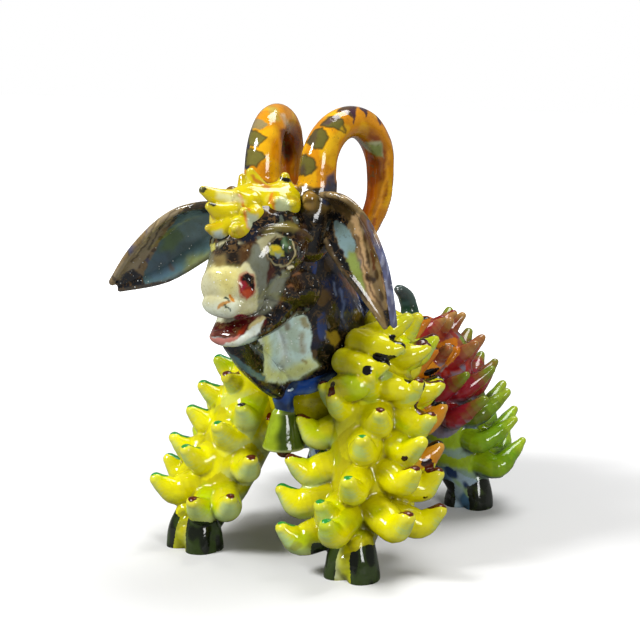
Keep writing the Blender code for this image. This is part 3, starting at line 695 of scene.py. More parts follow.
for leg_name, outward in (("rear_left_leg", 1.0), ("rear_right_leg", -1.0)):
    foot = np.array([outward * STANCE, WHEELBASE, 0.0])
    top = np.array([outward * 24.0, WHEELBASE - 6.0, 72.0])
    rows = [
        (degrees, height, REAR_SPREAD * reach, "-")
        for height, reach, angles in rear_rows
        for degrees in angles
    ]
    made = leg_tufts(
        foot, top, outward, rows, REAR_TUFT_RADIUS,
        seed=8, length=1.3, curl=1.7, blunt=REAR_TUFT_TIP_RADIUS, sweep=REAR_TUFT_SWEEP,
    )
    kinds = [rear_kind(degrees, height) for degrees, height, spread, dab in rows]
    for y, z, reach, kind in flank_tufts:
        root = np.array([outward * 19.0, y, z - 3.0])
        way = np.array([outward * 0.66, 0.75, 0.0])
        tip = root + way * reach * 1.25 + (0, 0, 7.0)
        form, spine = tuft(root, root + way * reach * 0.7, tip, REAR_TUFT_RADIUS, REAR_TUFT_TIP_RADIUS)
        made.append((form, spine, "k" if kind == "orange" else "r"))
        kinds.append(kind)
    toes = hoof(foot, 0.0, 0.96)
    co, quads, normals, crease_depth, owner, share, lift = fleece(foot, top, (16.5, 15.5), toes, made, 21)
    kind_of = np.array([sweep_names.index(kind) for kind in kinds])[owner]
    level = np.clip(share + 0.08 * mottle(co, 5, 22), 0.0, 1.0) * 3.0
    step = np.minimum(level.astype(int), 2)
    part = (level - step)[:, None]
    ground = sweep_paints[kind_of, step] * (1 - part) + sweep_paints[kind_of, step + 1] * part
    bare = (owner < 0).astype(float)
    ember = kind_of == sweep_names.index("ember")
    ground = coats(
        co,
        ground,
        (ease(0.35, 0.9, mottle(co, 5, 23)) * ember * 0.5, "b8502a"),
        (ease(0.45, 0.9, -lift + 0.2 * mottle(co, 5, 24)) * 0.7, "6f8498"),
        (bare, "8ba0ae"),
        (bare * ease(-0.3, 0.6, mottle(co, 9, 25)), "40627e"),
        (bare * ease(0.4, 0.8, mottle(co * (1, 1, 0.4), 4, 29)), "1c2f52"),
        (bare * ease(0.2, 0.8, mottle(co, 6, 26)) * ease(24, 14, co[:, 2]), "7f9a62"),
    )
    mould = (ease(0.2, 0.9, mottle(co, 5, 27)), "34401c")
    depth, tone = dabs_and_hoof(co, foot, 0.0, 13.0, dabs(made, 4), "161a10", mould)
    fire(leg_name, co, quads, ground, rear_glaze, depth, tone, crease_depth)


# Neck, beard and brisket
# The thick neck leans forward from the shoulders. It is nearly black with blue and amber patches, with a
# pale panel down the throat; the beard joins the chin to the strap. Its shapes, and those of the head and
# the horns, are painted from PAINTER, the direction of someone who stands at the goat's left front.
PAINTER = unit(np.array([0.535, -0.830, 0.156]))
STRAP_HEIGHT = 92.0
STRAP_DEPTH = 37.0
STRAP_SLOPE = 0.726


def drawing_board(co, normals, middle):
    """Places as the painter saw them: mm across to the right and up from the middle, a little wavy like
    brush edges, and how far each corner faces the painter, from 0 to 1."""
    across = unit(np.array([-PAINTER[1], PAINTER[0], 0.0]))
    away = co - np.array(middle, float)
    places = np.stack([away @ across, away @ np.cross(PAINTER, across)], 1)
    places += 0.34 * np.stack([mottle(co, 3.2, 41), mottle(co, 3.2, 42)], 1)
    places += 0.16 * np.stack([mottle(co, 1.3, 43), mottle(co, 1.3, 44)], 1)
    return places, ease(0.0, 0.2, normals @ PAINTER)


def lay_on(ground, places, facing, shapes):
    """Painted shapes (paint, strength, softness, radius, points), later ones on top: a line of that radius
    through the points, or the closed outline through them where the radius is 0."""
    for code, strength, soft, radius, points in shapes:
        corners = np.array(points, float)
        reach = radius + soft
        near = (places > corners.min(0) - reach).all(1) & (places < corners.max(0) + reach).all(1)
        near &= facing > 0
        x, y = places[near].T
        starts = corners[:-1] if radius else corners
        ends = corners[1:] if radius else np.roll(corners, -1, 0)
        depth = radius - np.min([segment_gap(places[near], a, b) for a, b in zip(starts, ends)], axis=0)
        if not radius:
            inside = np.zeros(len(x), bool)
            for a, b in zip(starts, ends):
                meets = a[0] + (y - a[1]) * (b[0] - a[0]) / (b[1] - a[1] if b[1] != a[1] else 1.0)
                inside ^= ((a[1] > y) != (b[1] > y)) & (x < meets)
            depth = np.where(inside, -depth, depth)
        ground[near] = wash(ground[near], ease(-soft, soft, depth) * strength * facing[near], code)
    return ground


neck_forms = [
    roll(
        [(0, 52, 74), (0, 38, 89), (0, 29, 104), (0, 20, 120), (0, 12, 134)],
        [(27.6, 30.2), (24.6, 29.1), (23, 26.4), (20.7, 23.4), (19.3, 20.4)],
        sides=44,
    ),
    roll([(0, 34, 76), (0, 31, 66), (0, 33, 56)], [(18, 14), (18, 14), (15, 12)], steps=3, sides=28),
]
for up in (0, 10):
    beard = [(up - 27, 101), (up - 17, 93 + up * 0.8), (up - 6, 85 + up), (up + 4, 78 + up), (14, 74 + up)]
    beard_sizes = [(5, 4.5), (4.8, 6.5), (4.4, 7), (4, 6.5), (4, 6)]
    neck_forms.append(roll([(0, y, z) for y, z in beard], beard_sizes))
co, quads, normals, crease_depth = press(neck_forms, 0.6, 5, ripple=(9, 31, 0.3))
above_strap = co[:, 2] - STRAP_HEIGHT - STRAP_SLOPE * (co[:, 1] - STRAP_DEPTH)
ground = coats(
    co,
    "08080b",
    (ease(0.0, 0.9, mottle(co, 12, 32)) * 0.8, "101a3a"),
    (ease(0.35, 0.9, mottle(co, 8, 33)) * ease(60, 75, co[:, 2]) * 0.7, "2a1c10"),
    (ease(0.75, 1.0, mottle(co, 7, 34)) * 0.6, "5c4416"),
    (ease(0.6, 1.0, mottle(co * (1, 1, 0.45), 5, 35)) * 0.6, "2c4480"),
    (ease(-2.5, -4.5, above_strap) * ease(60, 52, co[:, 1]), "c6be04"),
)
places, facing = drawing_board(co, normals, (6, 0, 100))
throat_paint = [
    ("16244e", 0.9, 1.6, 0, [
        (17.2, 21.8), (22.3, 25.1), (27.3, 24.2), (30.6, 18.4), (31.3, 6.7), (28.8, 0.8), (25.4, 1.7),
        (23.8, 12.6), (20.5, 17.6)
    ]),
    # Two pale blue lines on the navy patch: painted highlights.
    ("6c80b4", 0.7, 0.7, 0.6, [(25.1, 18.4), (26.8, 12.5), (26.3, 6.7)]),
    ("8ea0cc", 0.6, 0.5, 0.47, [(22.2, 21.8), (23.5, 15.9)]),
    ("241a10", 0.8, 1.4, 0, [(19.7, 14.3), (23.8, 12.6), (24.6, 5), (21.3, 1.7), (17.1, 5.1)]),
    ("86701c", 1, 0.6, 0, [
        (18.3, 1.3), (21.2, 0.5), (24.2, 1.3), (25.4, -3.3), (22.9, -6.2), (20.8, -4.1)
    ]),
    ("7a4814", 0.9, 1, 0, [(24.8, 25.1), (28.9, 22.5), (33.9, 17.5), (34.7, 14.2), (29.7, 17.5)]),
    ("c0d8d4", 1, 0.5, 0, [
        (-8.7, 6.2), (-4.6, 7.4), (0.5, 10.3), (4.6, 10.7), (8.4, 9), (11.3, 6), (12.9, 1), (12.2, -4.9),
        (13.2, -10.7), (15.7, -13.7), (11.1, -17.4), (6, -20.3), (0.2, -20.8), (-5.6, -19.3), (-8.1, -14.7),
        (-7.2, -9.7), (-8, -4.2), (-10, 1.6)
    ]),
    ("cfd690", 0.9, 1.6, 0, [
        (-9.6, 2), (-6.3, 5.3), (-4.3, -4.3), (-4.7, -12.6), (-1.9, -19.8), (-6.5, -18.9), (-8.1, -14.7),
        (-7.6, -4.2)
    ]),
    ("c9cf80", 0.85, 2, 0, [
        (-6.4, -15.9), (3.6, -14.4), (12, -9.9), (15.7, -13.7), (7.7, -19.4), (-0.6, -20.6)
    ]),
    ("ccd8da", 0.8, 2, 0, [(-1.7, 1.1), (2, 0.3), (3.6, -8.5), (2.3, -14.8), (-0.2, -14.8), (-0.5, -6.4)]),
    ("7a6a52", 0.8, 0.8, 1.03, [(1.7, 6.1), (2.9, 2.7)]),
    ("8a7a3a", 0.8, 0.8, 1.42, [(9.2, 5.6), (10.4, 3.5)]),
    ("9a8f78", 0.7, 1.2, 1.19, [(8.7, -0.2), (9.1, -7.3)]),
    ("4c5c60", 0.9, 0.4, 0.4, [(3, 9.8), (3.8, 6.9)]),
    ("8a7a3a", 0.8, 0.6, 0.63, [(9, -11.1), (10.3, -12.4)]),
    ("dde6dc", 1, 0.4, 0, [
        (-7.1, 7), (-4.6, 7), (-7.9, 2.8), (-8, -4.2), (-10.5, -0.9), (-14.7, -2.5), (-12.9, 2.1)
    ]),
    ("6f94b8", 0.9, 0.4, 0, [(-12.1, 2.9), (-9.2, 1.6), (-9.2, -0.5), (-10.9, 1.2)]),
    ("11170e", 1, 0.35, 0, [
        (-12.1, -1.1), (-9.2, -3), (-7.6, -7.2), (-7.3, -15.5), (-11, -15.1), (-14.3, -11.7), (-17.2, -8.3),
        (-18.8, -5.4), (-15.9, -2.5)
    ]),
    ("4f7076", 1, 0.4, 1.26, [(-24.7, -5.3), (-20.5, -8.3), (-16, -12.1), (-12.3, -15), (-8.1, -18)]),
]
ground = lay_on(ground, places, facing, throat_paint)
neck_glaze = pottery_glaze(
    "dark_neck_glaze", painted_glints=0.3, grain="4c3a20", thin="3a4a60", pooled_glaze_and_shade="3a3428", thinning=0.25
)
fire("neck_and_beard", co, quads, ground, neck_glaze, crease_depth=crease_depth)


# Collar strap and knot
# A flat strip of clay wrapped round the neck, low in front, with a lump for its knot under the throat;
# painted cobalt blue with green and pale strokes.
STRAP_SPOTS = 96
round_neck = np.linspace(0, 2 * pi, STRAP_SPOTS, endpoint=False)
strap = np.stack(
    [
        26.8 * np.sin(round_neck),
        STRAP_DEPTH - 24.8 * np.cos(round_neck),
        STRAP_HEIGHT - 18.0 * np.cos(round_neck),
    ],
    1,
)
collar_forms = [
    roll(strap, np.tile((2.7, 3.7), (STRAP_SPOTS, 1)), (0.0, -0.61, 0.79), sides=16, loop=True),
    roll([(0, 10.5, 73), (0.5, 11.5, 65)], [(5.4, 4.2), (4.4, 3.8)], steps=3),
]
co, quads, normals, crease_depth = press(collar_forms, 0.45, 4, ripple=(5, 41, 0.2), full=0.5)
ground = coats(
    co,
    "0f3a86",
    (ease(0.1, 0.8, mottle(co, 7, 42)) * 0.8, "0c1c3c"),
    (ease(2, -10, co[:, 0]) * ease(-0.6, 0.3, mottle(co, 6, 43)), "3a6450"),
    (ease(12, 18, co[:, 0]) * 0.85, "0b1420"),
)
dashes = [
    (strap[k] - (0, 2.4, -1.0 + k % 3), strap[k + 1] - (0, 2.4, k % 2), 0.9, "9fb8c4")
    for k in range(2, STRAP_SPOTS - 1, 9)
]
depth, tone = brush(co, dashes)
strap_glaze = pottery_glaze("cobalt_strap_glaze", painted_glints=0.1, thin="6d8ea0", pooled_glaze_and_shade="1c2436")
fire("collar_strap", co, quads, ground, strap_glaze, depth, tone, crease_depth)


# Bell and clapper
# A small bell of thin clay hangs open under the knot, its brown clapper showing in the mouth.
BELL_Y = 11.5


def turned(profile, centre_y, sides=40):
    """Clay turned round an upright axis: ring(v, u) = (r(v) cos u, centre + r(v) sin u, z(v))."""
    r, z = np.array(profile, float).T
    u = np.linspace(0, 2 * pi, sides, endpoint=False)[None, :]
    x = r[:, None] * np.cos(u)
    y = centre_y + r[:, None] * np.sin(u)
    rings = np.stack([x, y, np.repeat(z[:, None], sides, 1)], -1)
    return rings.reshape(-1, 3), tube_faces(len(r), sides)


bell_profile = [
    (0.4, 66.8), (3.0, 66.4), (5.0, 63.8), (6.8, 57.9), (8.3, 51.6), (9.3, 48.3),
    (8.6, 47.6), (6.2, 48.2), (5.2, 52.3), (0.4, 53.0),
]
co, quads, normals, crease_depth = press([turned(bell_profile, BELL_Y)], 0.4, 3, full=0.5)
ground = coats(co, "8fa61c", (ease(-1.0, 3.0, co[:, 0] + mottle(co, 5, 51)), "36480c"))
bell_glaze = pottery_glaze("green_bell_glaze", thin="dfe6a0", pooled_glaze_and_shade="2c3410")
fire("bell", co, quads, ground, bell_glaze, crease_depth=crease_depth)
co, quads = knead([roll([(0, BELL_Y, 56), (0, BELL_Y, 47)], [(2.6, 2.6), (3.6, 3.6)], steps=3)], 0.35, 2)
ground = coats(co, "8a4a12", (ease(-0.5, 2.0, co[:, 0] + mottle(co, 3, 52)), "3a1408"))
fire("clapper", co, quads, ground, bell_glaze)


# Head and ears
# The head is one lump with a blunt muzzle, an open jaw, round eyes under a rolled brow and two cupped
# ears. The muzzle is cream white, the mouth and nostrils dark red, and the rest nearly black with amber
# and grey patches; the ears are pale inside with a tan rim.
def ear_sheet(spine, inward, shares, wide=13.5, cup=0.55, wall=3.0, along=12, over=17):
    """Cupped leaf: spot(s, v) = path(s) + wide(s) v * width way + cup wide(s) v^2 * open way, given a wall
    along its normal, and closed round its edge. Returns its form and the spots midway through its wall."""
    rows = bend(np.hstack([np.array(spine, float), np.array(shares, float)[:, None]]), along)
    path, half = rows[:, :3], rows[:, 3] * wide
    tangent = unit(np.gradient(path, axis=0))
    inward = np.array(inward, float)
    open_way = unit(inward - tangent * (tangent @ inward)[:, None])
    wide_way = np.cross(tangent, open_way)
    v = np.linspace(-1, 1, over)[None, :, None]
    half = half[:, None, None]
    mid = path[:, None] + wide_way[:, None] * half * v * (1 - 0.12 * v * v)
    mid = mid + open_way[:, None] * half * cup * v * v
    normal = unit(open_way[:, None] - wide_way[:, None] * 2.0 * cup * v)
    inner, outer = mid + normal * wall / 2, mid - normal * wall / 2
    rings = np.concatenate([inner, outer[:, ::-1]], 1)
    return (rings.reshape(-1, 3), tube_faces(len(path), over * 2)), mid


def ear_rim(mid, edge, radius, across=(1.0, 0.0, 0.0)):
    """Thin roll of clay along one edge of an ear, 0 or -1."""
    line = mid[::3, edge]
    return roll(line, [(radius, radius)] * len(line), across, steps=3, sides=12)


right_spine = [(-14, 2, 149), (-33, -2, 144), (-56, -1, 129), (-80, 2, 114)]
left_spine = [(16, 12, 150), (31.5, 12, 148), (43, 12, 131), (50.5, 14, 106)]
right_ear, right_mid = ear_sheet(right_spine, (0.25, -1.0, -0.45), [0.62, 1.0, 0.85, 0.2])
left_ear, left_mid = ear_sheet(left_spine, (-0.12, -1.0, -0.1), [0.64, 0.97, 0.84, 0.2])
HALFWAY = 18  # the ring halfway along an ear's sheet
upper_edge = 0 if right_mid[HALFWAY, 0, 2] > right_mid[HALFWAY, -1, 2] else -1
head_forms = [
    roll(
        [
            (0, 14, 145), (0, 8, 144.5), (0, -4, 140.5), (0, -13, 134),
            (0, -20, 129), (0, -27, 124.8), (0, -32.5, 122.3),
        ],
        [(14, 12), (18, 16), (20, 18.5), (18.2, 17.5), (15.2, 15.2), (12.8, 12.8), (11.4, 11.2)],
        sides=44,
        blunt=0.42,
    ),
    roll(
        [(0, -22, 118.5), (0, -31, 117.8), (0, -35, 117)],
        [(11.4, 7.5), (10.8, 6.4), (9.8, 5.2)],
        sides=36,
        blunt=0.55,
    ),
    roll(
        [(0, -2, 116), (0, -12, 110.5), (0, -21, 106.5), (0, -29, 103.8), (0, -32.5, 103.4)],
        [(16, 13), (14.6, 10), (12.4, 6.6), (9.8, 4.2), (8.2, 3.4)],
        sides=36,
        blunt=0.7,
    ),
    roll(
        [(0, -17.5, 113), (0, -8, 114), (0, 2, 116)],
        [(12.8, 7.5), (14.8, 9.5), (14.8, 10)],
        sides=36,
        blunt=0.3,
    ),
    roll([(0, -14, 124), (0, -4, 121), (0, 8, 119)], [(16.3, 9), (18.8, 13), (20, 15)], sides=36),
    right_ear,
    left_ear,
    ear_rim(right_mid, upper_edge, 1.7, (0, 1, 0)),
    ear_rim(right_mid, -1 - upper_edge, 1.2, (0, 1, 0)),
    ear_rim(left_mid, 0, 1.3),
    ear_rim(left_mid, -1, 1.3),
]
for side in (-1.0, 1.0):
    eyeball = [(side * 12.5, -8.5, 136.5), (side * 15.4, -11.2, 138.2)]
    head_forms.append(roll(eyeball, [(5.6, 5.6)] * 2, (0, 0, 1), steps=3))
    brow = [(9, -21.5, 145.5), (13, -17.5, 147), (18.5, -8, 145.5), (20.3, 0, 141.5)]
    head_forms.append(roll([(side * x, y, z) for x, y, z in brow], [(1.5, 1.5)] * 4, (0, 0, 1)))
co, quads, normals, crease_depth = press(head_forms, 0.5, 3, full=0.6)
muzzle = ease(-22.5, -25.5, co[:, 1] + 0.5 * (co[:, 2] - 134) * (co[:, 2] > 134))
in_mouth = ease(0.2, 0.6, np.abs(normals[:, 2])) * ease(-19.5, -21.5, co[:, 1])
in_mouth *= ease(104, 105.5, co[:, 2]) * ease(113, 111.5, co[:, 2])
ground = coats(
    co,
    "0a0908",
    (ease(0.1, 0.8, mottle(co, 9, 51)) * 0.7, "101728"),
    (ease(0.3, 0.9, mottle(co, 6, 52)) * ease(118, 130, co[:, 2]) * 0.7, "3a2612"),
    (ease(0.8, 1.0, mottle(co, 4, 53)) * 0.5, "6e7a70"),
    (muzzle * ease(106.5, 108.5, co[:, 2]), "cfcba2"),
    (in_mouth, "5c1418"),
    (ease(-24, -28, co[:, 1]) * ease(105, 103.5, co[:, 2]), "a8bfbb"),
)
FACE_MIDDLE = (9, -24, 126)
places, facing = drawing_board(co, normals, FACE_MIDDLE)
face_paint = [
    ("0e0c0b", 1, 1, 0, [
        (11.2, 4.7), (17.7, 9.4), (24.9, 12.6), (29.7, 7.7), (28, -3.5), (24.8, -9.9), (17.5, -11.4),
        (7.9, -13.7), (2.3, -14.5), (5.5, -10.5), (11.2, -3.3)
    ]),
    ("3c2614", 0.7, 2, 0, [
        (13.2, 2.2), (16.5, 6.2), (19.7, 4.6), (19.6, -1.8), (16.8, -4.2), (12.8, -4.2)
    ]),
    ("9a6a44", 0.8, 0.5, 0.55, [(15.2, 2.2), (17.6, 3.4)]),
    ("9a6a44", 0.8, 0.5, 0.4, [(12.8, -2.2), (14.8, -1.8)]),
    ("6c4426", 0.7, 0.8, 0, [(5.9, -7.7), (9.6, -6.1), (12.8, -7), (10.7, -8.5), (7.5, -8.9)]),
    ("4c3216", 0.7, 1.6, 0, [
        (16.2, 22.2), (20.2, 23), (23.8, 16.6), (22.9, 11), (19.3, 11.8), (17.4, 16.6)
    ]),
    ("7c7030", 0.8, 0.9, 0, [
        (2.6, 19.9), (7.8, 23.1), (14.6, 24.2), (17.8, 21.4), (15.4, 19.8), (8.2, 19.9), (4.2, 17.5)
    ]),
    ("4a4a2a", 0.8, 1.2, 0, [(26.1, 6.2), (29.7, 8.1), (31.3, 4.5), (29.7, 1.3), (26.9, 2.5)]),
    ("8b9a98", 0.5, 1, 0, [(29, 17.3), (32.2, 16.5), (32.1, 10.1), (29.7, 10.9)]),
    ("6a6a5a", 0.9, 1.4, 0, [(-18.6, 14.5), (-13.4, 14.4), (-13.5, 8.1), (-19.1, 5.7)]),
    ("2a1c0f", 0.95, 1, 0, [
        (-17.5, 13.5), (-9, 15.5), (0, 15.5), (-1, 9.5), (-4, 6.2), (-10, 5.2), (-16.5, 6.2)
    ]),
    ("7c6c40", 0.8, 1.2, 0, [(-16.7, 11), (-12.3, 10.6), (-11.6, 6), (-17.1, 5.6)]),
    ("140d08", 0.95, 1.2, 0, [(-11.1, 13.2), (-6.3, 13.2), (-6.7, 7.6), (-9.9, 6), (-11.5, 8.8)]),
    ("432a10", 0.9, 1.2, 0, [
        (-6.3, 14.4), (-2.3, 16), (1.3, 15.5), (-0.7, 10.4), (-3.5, 7.2), (-6.3, 7.2)
    ]),
    ("0b0b0c", 1, 0.25, 0, [
        (-14.6, 14), (-12.6, 16.4), (-7.8, 16.8), (-5.9, 14), (-9.1, 12), (-13.9, 12.4)
    ]),
    ("c9c56a", 1, 0.3, 0, [(-18.6, 15.3), (-16.2, 16.1), (-15.9, 12.9), (-17.9, 12.1)]),
    ("6e7264", 1, 0.9, 0, [
        (-0.3, 15.1), (2.5, 14.3), (4.5, 9.5), (5.6, 4.7), (4.8, -0.1), (2.3, -6.5), (-0.5, -8.9),
        (-2, -3.2), (-0.4, 2.4), (-2.4, 5.6), (-3.5, 8), (-1.9, 12)
    ]),
    ("a09c78", 1, 0.6, 0, [
        (0.1, 16.3), (3.4, 18.3), (7.8, 19.7), (10.2, 18.3), (6.1, 15.9), (4.5, 12.7), (4.9, 8.7),
        (2.5, 12.7)
    ]),
    ("3c180c", 1, 0.6, 0, [(5.3, 7.9), (7.6, 5.5), (7.6, 2.3), (4, -0.9), (4.4, 4.7)]),
    ("7c8070", 1, 1, 0, [
        (10.8, 4.7), (13.6, 3.8), (10.8, -3.3), (8.3, -8.9), (5.1, -12.1), (-0.9, -14.1), (-2.5, -10.4),
        (2.3, -6.1), (5.2, -1.7), (7.6, 1.9)
    ]),
    ("cac8a2", 1, 0.7, 0, [
        (-22.4, -2.3), (-21.1, 2.5), (-19.9, 4.9), (-16.7, 6.1), (-6.3, 6), (-3.9, 8), (-1.6, 4.8),
        (0.4, -0.1), (0.7, -7.3), (-0.1, -12.1), (-4.1, -13.2), (-8.1, -14.8), (-12.5, -16.4),
        (-19.3, -16.3), (-24.1, -14.2), (-26.4, -10.2), (-24, -6.2)
    ]),
    ("d6cc74", 0.7, 2.5, 0, [
        (-19.1, 5.7), (-6.3, 5.6), (-6.4, 0.8), (-9.6, -5.6), (-13.6, -5.5), (-16.4, 0.9)
    ]),
    ("d0d8c6", 0.8, 2, 0, [(-24, -8.6), (-6.5, -7.2), (-8.1, -15.2), (-20.9, -15.9)]),
    ("0c0c0c", 1, 0.2, 0.79, [(8.8, 4.1), (9.6, 2.9)]),
    ("9c9470", 1, 0.3, 6.01, [(10.3, 12.1), (10.3, 12)]),
    ("4a3c2a", 0.9, 0.4, 0.36, [(5.7, 7.1), (4.1, 11.1), (4.9, 15.5), (8.2, 17.9)]),
    ("07080a", 1, 0.2, 5.4, [(10.3, 12.1), (10.3, 12)]),
    ("c9b98a", 0.9, 0.2, 0.28, [(14.5, 15.8), (15.9, 12.6), (15.3, 9), (12.9, 6.7)]),
    ("a9a53c", 1, 0.4, 0, [(5.3, 13.9), (8.1, 15.1), (10.5, 13.9), (11.3, 10.3), (8.5, 9.1), (5.7, 11.5)]),
    ("d2b81e", 1, 0.4, 0, [(6.5, 14.3), (9.3, 14.7), (10.1, 12.7), (6.9, 12.3)]),
    ("2a4028", 1, 0.3, 2.2, [(12.1, 15.9), (12.9, 13.5)]),
    ("6f8a66", 0.8, 0.8, 0.87, [(11.3, 16.7), (12.1, 15.1)]),
    ("161c28", 1, 0.5, 0, [(6.5, 9.9), (14.5, 10.2), (13.7, 7.8), (10.5, 6.7), (7.3, 7.9)]),
    ("8a9a94", 1, 0.4, 0, [(7.3, 11.5), (10.5, 11.1), (9.7, 9.5), (7.7, 9.9)]),
    # A painted highlight on the eye.
    ("f2ecd4", 1, 0.2, 0.51, [(13.3, 5.7), (14.7, 6.2)]),
    ("b98c70", 0.9, 0.3, 0, [
        (-4, 4.4), (-0.8, 2.8), (0.4, -0.9), (-0.4, -5.2), (-3.7, -7.6), (-6.4, -5.6), (-7.6, -0.8),
        (-6.4, 2.8)
    ]),
    ("8a2418", 1, 0.25, 0, [
        (-3.6, 3.6), (-1.2, 2), (-0.2, -1.2), (-1.2, -4.8), (-3.7, -7), (-6, -4.4), (-7, -0.8), (-6, 2)
    ]),
    ("b4421c", 1, 0.5, 0, [(-6, -2.8), (-1.2, -2.8), (-2.5, -6), (-4.1, -7)]),
    ("a01838", 1, 0.5, 0, [(-6.6, 0.4), (-4.8, 1.2), (-3.6, -1.6), (-5.6, -3.2)]),
    ("120a0c", 1, 0.35, 0, [
        (-5.2, 2.6), (-3.2, 3.6), (-0.8, 1.6), (-0.2, -3.2), (-2.2, -2), (-4.2, 0.4), (-6, 0.8)
    ]),
    # A painted glint in the nostril.
    ("e8d8d0", 0.9, 0.2, 0.36, [(-5.8, -1.4), (-5.6, -1.2)]),
    ("b98a4e", 1, 0.15, 0.59, [(-15.3, -10.3), (-13.7, -8.7), (-10.1, -8)]),
    ("2c4034", 1, 0.12, 0.32, [(-12.8, -6.5), (-11.1, -6.6), (-10.5, -7.6)]),
    ("2c4034", 1, 0.12, 0.32, [(-12.1, -8.8), (-11.3, -10.4), (-10.3, -11.2)]),
    ("c08030", 1, 0.15, 0.71, [(-10.2, -5.4), (-8.9, -7.4)]),
    ("cfc288", 1, 0.4, 0, [(-2.6, -16.8), (2.3, -13.3), (3.9, -14.5), (-0.2, -19.3), (-4.2, -20.8)]),
    ("dde6dc", 1, 0.4, 0, [
        (3.1, -14.5), (1.4, -20.5), (-4.2, -23.2), (-8.2, -26.4), (-13.8, -27.2), (-17, -25.5),
        (-12.2, -24), (-6.6, -22), (-1.8, -18.5)
    ]),
    ("6f8f94", 0.9, 0.8, 0, [(-14.6, -25.5), (-7.4, -26.8), (-5.9, -30.4), (-10.7, -29.6), (-14.6, -27.5)]),
    ("8c2040", 1, 0.3, 0, [(-9.3, -14.4), (-7.7, -12.6), (-4.9, -12.6), (-2.9, -14.2), (-6.5, -15.6)]),
    ("4a0e12", 1, 0.3, 0, [
        (-22.5, -15.1), (-17.7, -16.3), (-12.5, -16.4), (-7.3, -14.8), (-2.5, -14.4), (-0.9, -15.3),
        (-3.8, -18.4), (-7.4, -21.2), (-12.6, -22.4), (-17.8, -21.9), (-21.8, -19.9)
    ]),
    ("8c4a46", 0.8, 0.8, 0, [(-22.5, -15.5), (-17.7, -16.7), (-17.4, -21.1), (-21.8, -20.3)]),
    ("a03818", 0.8, 0.6, 0, [(-7.4, -19.6), (-3.8, -17.2), (-5.4, -20.4), (-7.8, -21.6)]),
    ("b47068", 1, 0.3, 0, [
        (-22.5, -19.1), (-19.8, -21.1), (-16.6, -22.5), (-11.4, -22.4), (-6.2, -20.6), (-7.4, -22.6),
        (-12.6, -24.8), (-17, -25.3), (-21.4, -23.9)
    ]),
]

def near_sheet(co, mid):
    """From 0 well off an ear's sheet to 1 on it, and the step across the ear nearest to each corner."""
    spots = mid.reshape(-1, 3)
    pick = nearest(co, spots)
    return ease(2.6, 2.0, np.linalg.norm(co - spots[pick], axis=1)), pick % mid.shape[1]


on_right_ear, _ = near_sheet(co, right_mid)
on_left_ear, step_across = near_sheet(co, left_mid)
on_right_ear *= ease(-19, -21, co[:, 0])
on_left_ear *= ease(20.5, 22.5, co[:, 0])
on_skull = (1 - on_right_ear) * (1 - on_left_ear)
# The goat's right cheek is out of the painter's sight, so it is painted as the mirror of its left one.
mirror = (-1, 1, 1)
other_places, other_facing = drawing_board(co * mirror, normals * mirror, FACE_MIDDLE)
out_of_sight = ease(-1, -4, co[:, 0]) * ease(0.35, 0.05, normals @ PAINTER)
ground = lay_on(ground, other_places, other_facing * out_of_sight * on_skull, face_paint)
ground = lay_on(ground, places, facing * on_skull, face_paint)
right_ear_paint = [
    ("4d6a70", 1, 0.5, 0, [
        (-16.3, -13.7), (-11.9, -4.3), (-5.9, 5.8), (2.8, 16.9), (13.4, 20.2), (18.9, 15.9), (17, -6.3),
        (2.5, -11.3), (-10.3, -13.3)
    ]),
    ("7a99a0", 0.9, 2, 0, [(6.2, 17.7), (16.4, 17.6), (17.2, 6.5), (2.7, 6.6), (1, 12.6)]),
    ("5f7a48", 0.85, 1.6, 0, [(-3.3, 9.2), (1.9, 11.8), (5.2, 8.3), (-0.8, 1.5), (-5.9, 1.6)]),
    ("4a6474", 0.9, 2, 0, [(-10.2, -0.9), (-1.6, 2.4), (0.8, -5.3), (-6, -11.2), (-12, -9.5)]),
    ("7a8450", 0.9, 2.2, 0, [(6, -0.2), (16.2, 1.4), (14.5, -7.1), (4.2, -8.7)]),
    ("5a4a3a", 0.7, 0.8, 1.19, [(-1.7, -4.4), (-0.9, -5.7)]),
    ("11141c", 1, 0.5, 0, [(7.1, 23.7), (17.3, 26.2), (19.8, 17.6), (14.7, 17.7), (9.6, 19), (4.5, 16.9)]),
    ("97886e", 1, 0.4, 0, [
        (14, 27.9), (2, 23.7), (-6.6, 16.9), (-13.5, 5.9), (-21.2, -1.7), (-27.2, -7.6), (-24.7, -11.1),
        (-16.2, -5.2), (-9.3, 2.9), (-4.1, 11.4), (3.6, 18.6), (11.3, 22.4)
    ]),
    ("c8b48a", 0.8, 0.4, 0.47, [(6.3, 24.5), (-3.2, 19), (-9.2, 9.3), (-16.1, 0.8)]),
    ("3a3024", 0.8, 0.3, 0.36, [(8.8, 22.4), (0.2, 18.2), (-5.8, 11), (-11, 2.5)]),
    ("4a3c2c", 0.8, 0.3, 0.36, [(-1.4, 20.3), (-6.6, 14.4), (-11.8, 5), (-18.7, -2.6)]),
    ("101826", 1, 0.4, 0, [
        (-27.3, -10.2), (-21.3, -10.2), (-14.5, -12), (-6, -11.2), (4.6, -9.2), (14.5, -6.3), (15.3, -11.4),
        (2.5, -13.8), (-10.3, -15.9), (-24.8, -17)
    ]),
    ("0e1420", 1, 0.5, 0, [(-23.8, -8.5), (-18.7, -5.1), (-14.5, -8.6), (-12, -14.6), (-26.5, -17)]),
]
